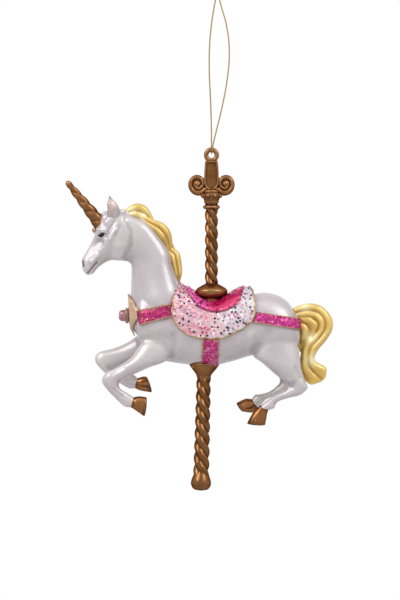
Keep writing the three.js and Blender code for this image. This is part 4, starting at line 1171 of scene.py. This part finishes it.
def hooves():
    """Cast hooves: a band at the coronet, a full wall and a rounded sole edge."""
    for name, ribs in HOOVES.items():
        rings = rib_rings(smooth_rows(ribs, 10), 36)
        along = np.linspace(0, 1, len(rings))
        swell = 1 + 0.06 * near(along - 0.12, 0.07) + 0.07 * np.sin(math.pi * along)
        middles = rings.mean(1, keepdims=True)
        rings = middles + (rings - middles) * swell[:, None, None]
        axis = middles[-1, 0] - middles[0, 0]
        run = np.linalg.norm(axis)
        kept = [ring for ring, share in zip(rings, along) if (1 - share) * run > SOLE_ROUND]
        hoof = loft([*kept, *dome(kept[-1], kept[-2], SOLE_ROUND)])
        form = relaxed(remeshed(hoof, 0.16), 80, TO_AND_FRO)
        down = (form[0] - middles[0, 0]) @ axis / run**2
        # Painted shade, darker towards the coronet and towards the sole
        shade = np.clip(np.abs(down - 0.5) * 3.6 - 0.75, 0, 1)
        cast(f"{name}_cast", on_seat(form), name, WARM_BRONZE, groove=shade)


def horn():
    """A spiral spike with a blunt tip."""
    end = HORN_TIP / 2 - HORN_GROOVE / 3
    length = HORN_LENGTH - end
    spike, groove = rope(length, HORN_TIP, HORN_BASE, HORN_STRANDS, HORN_LEAD, HORN_GROOVE, 48, 36)
    blunt = ball((0, 0, 0), [end] * 3)
    groove = np.concatenate([groove, np.zeros(len(blunt[0]))])
    upright = placed(merged([spike, blunt]), (0, 0, length))
    standing = placed(upright, (HORN_ROOT[0], 0, HORN_ROOT[1]), HORN_TILT)
    cast("horn_spiral", on_seat(standing), "horn", WARM_BRONZE, groove=groove)


def strand_ribs(ribs, across, size, wave):
    """One strand of a lock: a narrower row of ribs, at its place across the lock from -1 to 1."""
    rows = smooth_rows(ribs, 4)
    made = []
    for f, (ax, az, bx, bz, half, y) in zip(np.linspace(0, 1, len(rows)), rows):
        middle = np.clip(across + 0.07 * math.sin(wave + 5 * f), size - 1, 1 - size)
        centre = np.array([ax + bx, az + bz]) / 2
        reach = np.array([ax - bx, az - bz]) / 2
        first, second = centre + reach * (middle + size), centre + reach * (middle - size)
        made.append((*first, *second, half * (1 - 0.3 * middle**2), y))
    return made


def lock_forms(ribs, strands):
    """Strands side by side across a lock, each a little wider than its share."""
    forms = []
    for k in range(strands):
        across = (2 * k + 1) / strands - 1
        size = 1.12 / strands
        forms.append(rib_form(strand_ribs(ribs, across, size, random.uniform(0, 6)), 2, 24, caps=(0.5, 0.8)))
    return forms


# Places of pale painted highlight and places of darker paint with painted shade in the painted hair: x, z and
# radius
CREAM_HIGHLIGHT_PLACES = [(-35.5, 38.8, 2.2), (-31, 36.4, 2), (44.1, -17.4, 2.5), (44, -27, 2.5), (41.6, -3.2, 2.5)]
BROWN_AND_SHADE_PLACES = [(-20.7, 25.4, 3.2), (-14.6, 9.6, 1.6), (43.5, -11.7, 2.8), (40.4, -19.3, 1.8)]


def near_places(points, places):
    """How near each point lies to one of some places in the side view, from 0 to 1."""
    x, z = points[:, 0], points[:, 2]
    return np.max([near(np.hypot(x - px, z - pz), radius) for px, pz, radius in places], axis=0)


def locks(name, table, strands, voxel, steps):
    """Mane or tail as one form of strands, with pale painted highlights in places and darker paint with
    painted shade in others.
    """
    forms = [form for ribs, count in zip(table, strands) for form in lock_forms(ribs, count)]
    form = relaxed(remeshed(merged(forms), voxel), steps)
    cream = 0.85 * near_places(form[0], CREAM_HIGHLIGHT_PLACES)
    brown = 0.7 * near_places(form[0], BROWN_AND_SHADE_PLACES)
    # ridge carries painted shade between strands and painted highlights on their ridges
    piece(f"{name}_locks", on_seat(form), HAIR, "hair_gold", [name],
          ridge=ridge_share(form, 20, 0.07), cream=cream, brown=brown)


# Tack
PIPING_INSET = 0.4
PIPING_RADIUS = 0.32
EDGING_RADIUS = 0.24
TRUNK_MIDDLE = -13
FLAKE_THICKNESS = 0.07
FLAKE_RADIUS = 0.48
SPARKLE_RADIUS = 0.45
BLANKET_FLAKES = 1000
SADDLE_SPARKLES = 260
STRAP_SPARKLES = 150


def evenly(path, count):
    """Points at equal steps along a smooth curve through the path."""
    rows = smooth_rows(path, 40)
    run = np.concatenate([[0], np.cumsum(np.linalg.norm(np.diff(rows, axis=0), axis=1))])
    steps = np.linspace(0, run[-1], count + 1)
    return np.stack([np.interp(steps, run, rows[:, k]) for k in range(2)], 1)


def scalloped(corners, count, bulge):
    """The blanket's side outline: equal outward arcs along a curve through its corners."""
    ends = evenly(corners, count)
    path = [ends[0]]
    for (px, pz), (x, z) in zip(ends, ends[1:]):
        push = 2 * bulge / math.hypot(x - px, z - pz)
        path.append(((px + x) / 2 + (z - pz) * push, (pz + z) / 2 - (x - px) * push))
        path.append((x, z))
    return bent(path, 10)


def flake_form(form, count, radius, pick):
    """Small six-sided flakes on a shell's outer side, and the tint that pick chooses for each at its x."""
    points, faces = form
    normals = normals_of(form)
    corners = np.array([face[0] for face in faces])
    outward = points - np.array([0, 0, TRUNK_MIDDLE])
    outward[:, 0] = 0
    facing = np.einsum("ij,ij->i", outward, normals) / np.maximum(np.linalg.norm(outward, axis=1), 1e-6)
    choices = corners[facing[corners] > 0.35]
    made, flake_faces, tints = [], [], []
    for _ in range(count):
        at = random.choice(choices)
        normal = (Vector(normals[at]) + Vector([random.uniform(-0.2, 0.2) for _ in range(3)])).normalized()
        side = normal.orthogonal().normalized()
        up = normal.cross(side)
        size = radius * random.uniform(0.7, 1.25)
        tint = pick(points[at][0])
        lift = 0.06 * (1 - tint)
        turn = random.uniform(0, math.pi)
        start = len(made)
        angles = [turn + k * math.pi / 3 for k in range(6)]
        rim = [(side * math.cos(angle) + up * math.sin(angle)) * size for angle in angles]
        for level in (lift, lift + FLAKE_THICKNESS):
            made += [tuple(Vector(points[at]) + spoke + normal * level) for spoke in rim]
        flake_faces.append(tuple(start + 5 - k for k in range(6)))
        flake_faces.append(tuple(start + 6 + k for k in range(6)))
        for k in range(6):
            beside = (k + 1) % 6
            flake_faces.append((start + k, start + beside, start + 6 + beside, start + 6 + k))
        tints += [tint] * 12
    return (np.array(made), flake_faces), tints


def picked(shares):
    """A tint from a list of colours, each as often as its share."""
    return (random.choices(range(len(shares)), shares)[0] + 0.5) / len(shares)


def blanket_tint(x):
    front = random.uniform(-5, 10) > x
    return picked(FRONT_SHARES if front else REAR_SHARES)


def flakes(name, form, count, radius, pick, material, slot):
    chips, tints = flake_form(below_seat(form), count, radius, pick)
    made = piece(name, on_seat(chips), material, slot, flake=tints)
    made.data.shade_flat()


def sparkles(name, form, count, shares):
    flakes(name, form, count, SPARKLE_RADIUS, lambda x: picked(shares), SPARKLE, "pink_glitter")


def over_back(tree, x, level):
    """Points over the back at x, from one side to the other, above a level."""
    spokes = [Vector((0, math.sin(angle), math.cos(angle))) for angle in np.linspace(-1.5, 1.5, 40)]
    spots = struck(tree, [(Vector((x, 0, TRUNK_MIDDLE)) + away * 60, -away) for away in spokes])
    return spots[spots[:, 2] > level]


def dressed(name, cad_node, voxel, steps, material, slot):
    """A piece with a CAD node's own softened shape, and that shape as a form."""
    form = refined(cad_node, voxel, steps)
    piece(name, form, material, slot, [cad_node])
    return form


def corded(name, lines, radius, gold=PIPING):
    """Gold cord along lines of points on the figure."""
    forms = [tube(line, radius) for line in lines if len(line) > 3]
    piece(name, on_seat(merged(forms)), gold, "setting_gold")


def blanket():
    """Glittered cloth with loose flakes and a piped edge."""
    cloth = dressed("blanket_cloth", "saddle_blanket", 0.26, 40, PALE, "pale_glitter")
    flakes("blanket_flakes", cloth, BLANKET_FLAKES, FLAKE_RADIUS, blanket_tint, FLAKES, "pale_glitter")
    tree = tree_of(below_seat(cloth))
    outline = scalloped(BLANKET_CORNERS, SCALLOPS, SCALLOP_BULGE)
    inside = outline - unit(outline - np.array(BLANKET_MIDDLE)) * PIPING_INSET
    lines = [draped(tree, inside, side, 0.02) for side in (-1, 1)]
    for (x, z), inset in ((BLANKET_CORNERS[0], PIPING_INSET), (BLANKET_CORNERS[-1], -PIPING_INSET)):
        lines.append(over_back(tree, x + inset, z))
    corded("blanket_piping", lines, PIPING_RADIUS)


def cushioned(form, steps):
    """A shell over the back whose height above the trunk's middle runs smoothly from place to place."""
    points, faces = form
    away = (points - np.array([0, 0, TRUNK_MIDDLE])) * np.array([0, 1, 1])
    height = np.linalg.norm(away, axis=1)
    return points + away * (evened(height, faces, steps) / height - 1)[:, None], faces


def saddle():
    seat = on_seat(cushioned(below_seat(refined("saddle", 0.22, 40)), 120))
    piece("saddle_seat", seat, ENAMEL, "pink_glitter", ["saddle"])
    sparkles("saddle_sparkles", seat, SADDLE_SPARKLES, SADDLE_SHARES)


def straps():
    """Glittered straps on both sides, with corded edges."""
    for label, side in (("near", -1), ("far", 1)):
        for kind, edges in STRAP_EDGES.items():
            name = f"{label}_{kind}"
            band = dressed(f"{name}_band", name, 0.16, 30, PINK, "pink_glitter")
            sparkles(f"{name}_sparkles", band, STRAP_SPARKLES, SPARKLE_SHARES[kind])
            tree = tree_of(below_seat(band))
            middle = np.mean(edges, axis=0)
            rows = [smooth_rows(edge + (middle - edge) * 0.08, 24) for edge in np.array(edges)]
            corded(f"{name}_edging", [draped(tree, row, side, 0.04) for row in rows], EDGING_RADIUS)


STAR_TOP = 2.2
STAR_BOTTOM = -16.8
STAR_MIDDLE = -7
STAR_REACH = 10
STAR_WAIST = 5
JEWEL_PLACE = (-52, 30.6)
JEWEL_TILT = -70
JEWEL_RADIUS = 1.3


def star_edge(tree, tip, lean):
    """Points on the star's front, along its upper or lower edge from side to side."""
    bow = STAR_MIDDLE + lean * STAR_WAIST
    half = [(STAR_REACH, STAR_MIDDLE), (STAR_WAIST, bow)]
    outline = bent([*((-y, z) for y, z in half), (0, tip), *half[::-1]], 30, last=True)
    return struck(tree, [((-100, y * 0.97, z - lean * 0.25), (1, 0, 0)) for y, z in outline])


def jewels():
    """Star on the chest with its gem, and the jewel on the forehead."""
    star = dressed("star_plate", "chest_star", 0.16, 24, ROSE_GOLD, "rose_gold")
    tree = tree_of(below_seat(star))
    corded("star_edging", [star_edge(tree, STAR_TOP, 1), star_edge(tree, STAR_BOTTOM, -1)], 0.2, SETTING)
    dressed("gem_cup", "gem_setting", 0.12, 20, CUP_IN_SHADE, "setting_gold")
    dressed("gem_stone", "chest_gem", 0.12, 20, GEM, "pink_gem")
    dressed("jewel_stone", "forehead_jewel", 0.1, 20, GEM, "pink_gem")
    points, faces = torus(JEWEL_RADIUS, 0.28, 40, 12)
    flat = points[:, [0, 2, 1]]
    rim = placed((flat, faces), (JEWEL_PLACE[0], 0, JEWEL_PLACE[1]), JEWEL_TILT)
    piece("jewel_rim", on_seat(rim), SETTING, "setting_gold")


# Hanger
def thread_loop():
    curve = bpy.data.curves.new("thread_loop", "CURVE")
    curve.dimensions = "3D"
    curve.bevel_depth = THREAD_DIAMETER / 2
    curve.bevel_resolution = 4
    curve.use_fill_caps = True
    spline = curve.splines.new("POLY")
    route = smooth_rows(THREAD_ROUTE, 4)
    spline.points.add(len(route) - 1)
    for point, spot in zip(spline.points, route):
        point.co = (*spot, 1)
    curve.materials.append(THREAD)
    made = bpy.data.objects.new("thread_loop", curve)
    scene.collection.objects.link(made)
    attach(made, "hanger")
    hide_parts("hanger_thread")
    return made


KNOT_TURNS = 2.2


def knot():
    """Thread wound round a core."""
    low, high = node_box("thread_knot")
    centre, size = (low + high) / 2, (high - low) / 2
    radius = THREAD_DIAMETER / MM / 2
    path = []
    for f in np.linspace(0, 1, 90):
        angle = f * KNOT_TURNS * 2 * math.pi
        reach = (size[0] - radius) * (0.72 + 0.28 * math.cos(angle * 1.5))
        level = (size[2] - radius) * (2 * f - 1) * 0.9 + 0.25 * math.sin(angle * 1.5)
        path.append(centre + np.array([reach * math.cos(angle), reach * math.sin(angle), level]))
    core = ball(centre, size * np.array([0.62, 0.62, 0.9]))
    form = merged([tube(path, radius, 14), core])
    return piece("knot_tied", form, THREAD, "gold_thread", ["thread_knot"], "hanger")


def hanger():
    thread = thread_loop()
    tied = knot()


# Stage, light and camera
def floor():
    """Round pale floor, small enough to stay below the picture behind the ornament."""
    rim = circle(FLOOR_RADIUS, around(FLOOR_SIDES), cad_box[0].z / MM - FLOOR_DROP)
    ground = mesh_object("floor", (rim, [tuple(range(FLOOR_SIDES))]), floor_material())


def lamp(name, place_at, target, size, power):
    data = bpy.data.lights.new(name, "AREA")
    data.shape = "RECTANGLE"
    data.size, data.size_y = size
    data.energy = power
    made = bpy.data.objects.new(name, data)
    made.location = place_at
    made.rotation_euler = (Vector(target) - Vector(place_at)).to_track_quat("-Z", "Y").to_euler()
    scene.collection.objects.link(made)


def studio():
    """Three soft lamps in a white room, which lights less than it shows."""
    middle = (0, 0, SEAT * MM)
    lamp("top_box", (0.0, -0.4, 0.8), middle, (1.2, 0.4), 1.3)
    lamp("left_box", (-0.62, -0.52, 0.55), middle, (0.55, 0.5), 4.0)
    lamp("right_box", (0.62, -0.52, 0.55), middle, (0.55, 0.5), 3.2)
    world = bpy.data.worlds.new("studio")
    world.use_nodes = True
    scene.world = world
    tree = world.node_tree
    path = node(tree, "ShaderNodeLightPath").outputs
    seen = path["Is Camera Ray"]
    for ray in ("Is Glossy Ray", "Is Transmission Ray"):
        seen = node(tree, "ShaderNodeMath", {0: seen, 1: path[ray]}, operation="MAXIMUM").outputs[0]
    sky = tree.nodes["Background"].inputs
    feed(tree, sky["Strength"], spread(tree, seen, ROOM_LIGHT, 1.0))
    feed(tree, sky["Color"], (1, 1, 1, 1))


SENSOR = 36


def camera():
    """Level camera in front of the near side, with the photograph's frame."""
    data = bpy.data.cameras.new("photo")
    data.sensor_fit = "AUTO"
    data.sensor_width = SENSOR
    data.lens = SENSOR * CAMERA_DISTANCE / (PICTURE[1] * PIXEL)
    data.clip_end = 20
    made = bpy.data.objects.new("photo", data)
    made.location = (PICTURE_CENTRE[0] * MM, -CAMERA_DISTANCE * MM, PICTURE_CENTRE[1] * MM)
    made.rotation_euler = (math.pi / 2, 0, 0)
    scene.collection.objects.link(made)
    scene.camera = made


def hidden_pegs():
    """The pegs keep their CAD shapes."""
    for name in ("upper_peg", "lower_peg"):
        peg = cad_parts[name]
        peg.data.materials.clear()
        peg.data.materials.append(STEEL)


eye_ring()
finial()
collar()
upper_rope()
flange()
ferrule()
lower_rope()
knob()
eyes(unicorn_skin())
hooves()
horn()
locks("mane", MANE, MANE_STRANDS, 0.18, 12)
locks("tail", TAIL, TAIL_STRANDS, 0.2, 14)
blanket()
saddle()
straps()
jewels()
hanger()
hidden_pegs()
floor()
studio()
camera()
scene.view_settings.view_transform = "Standard"
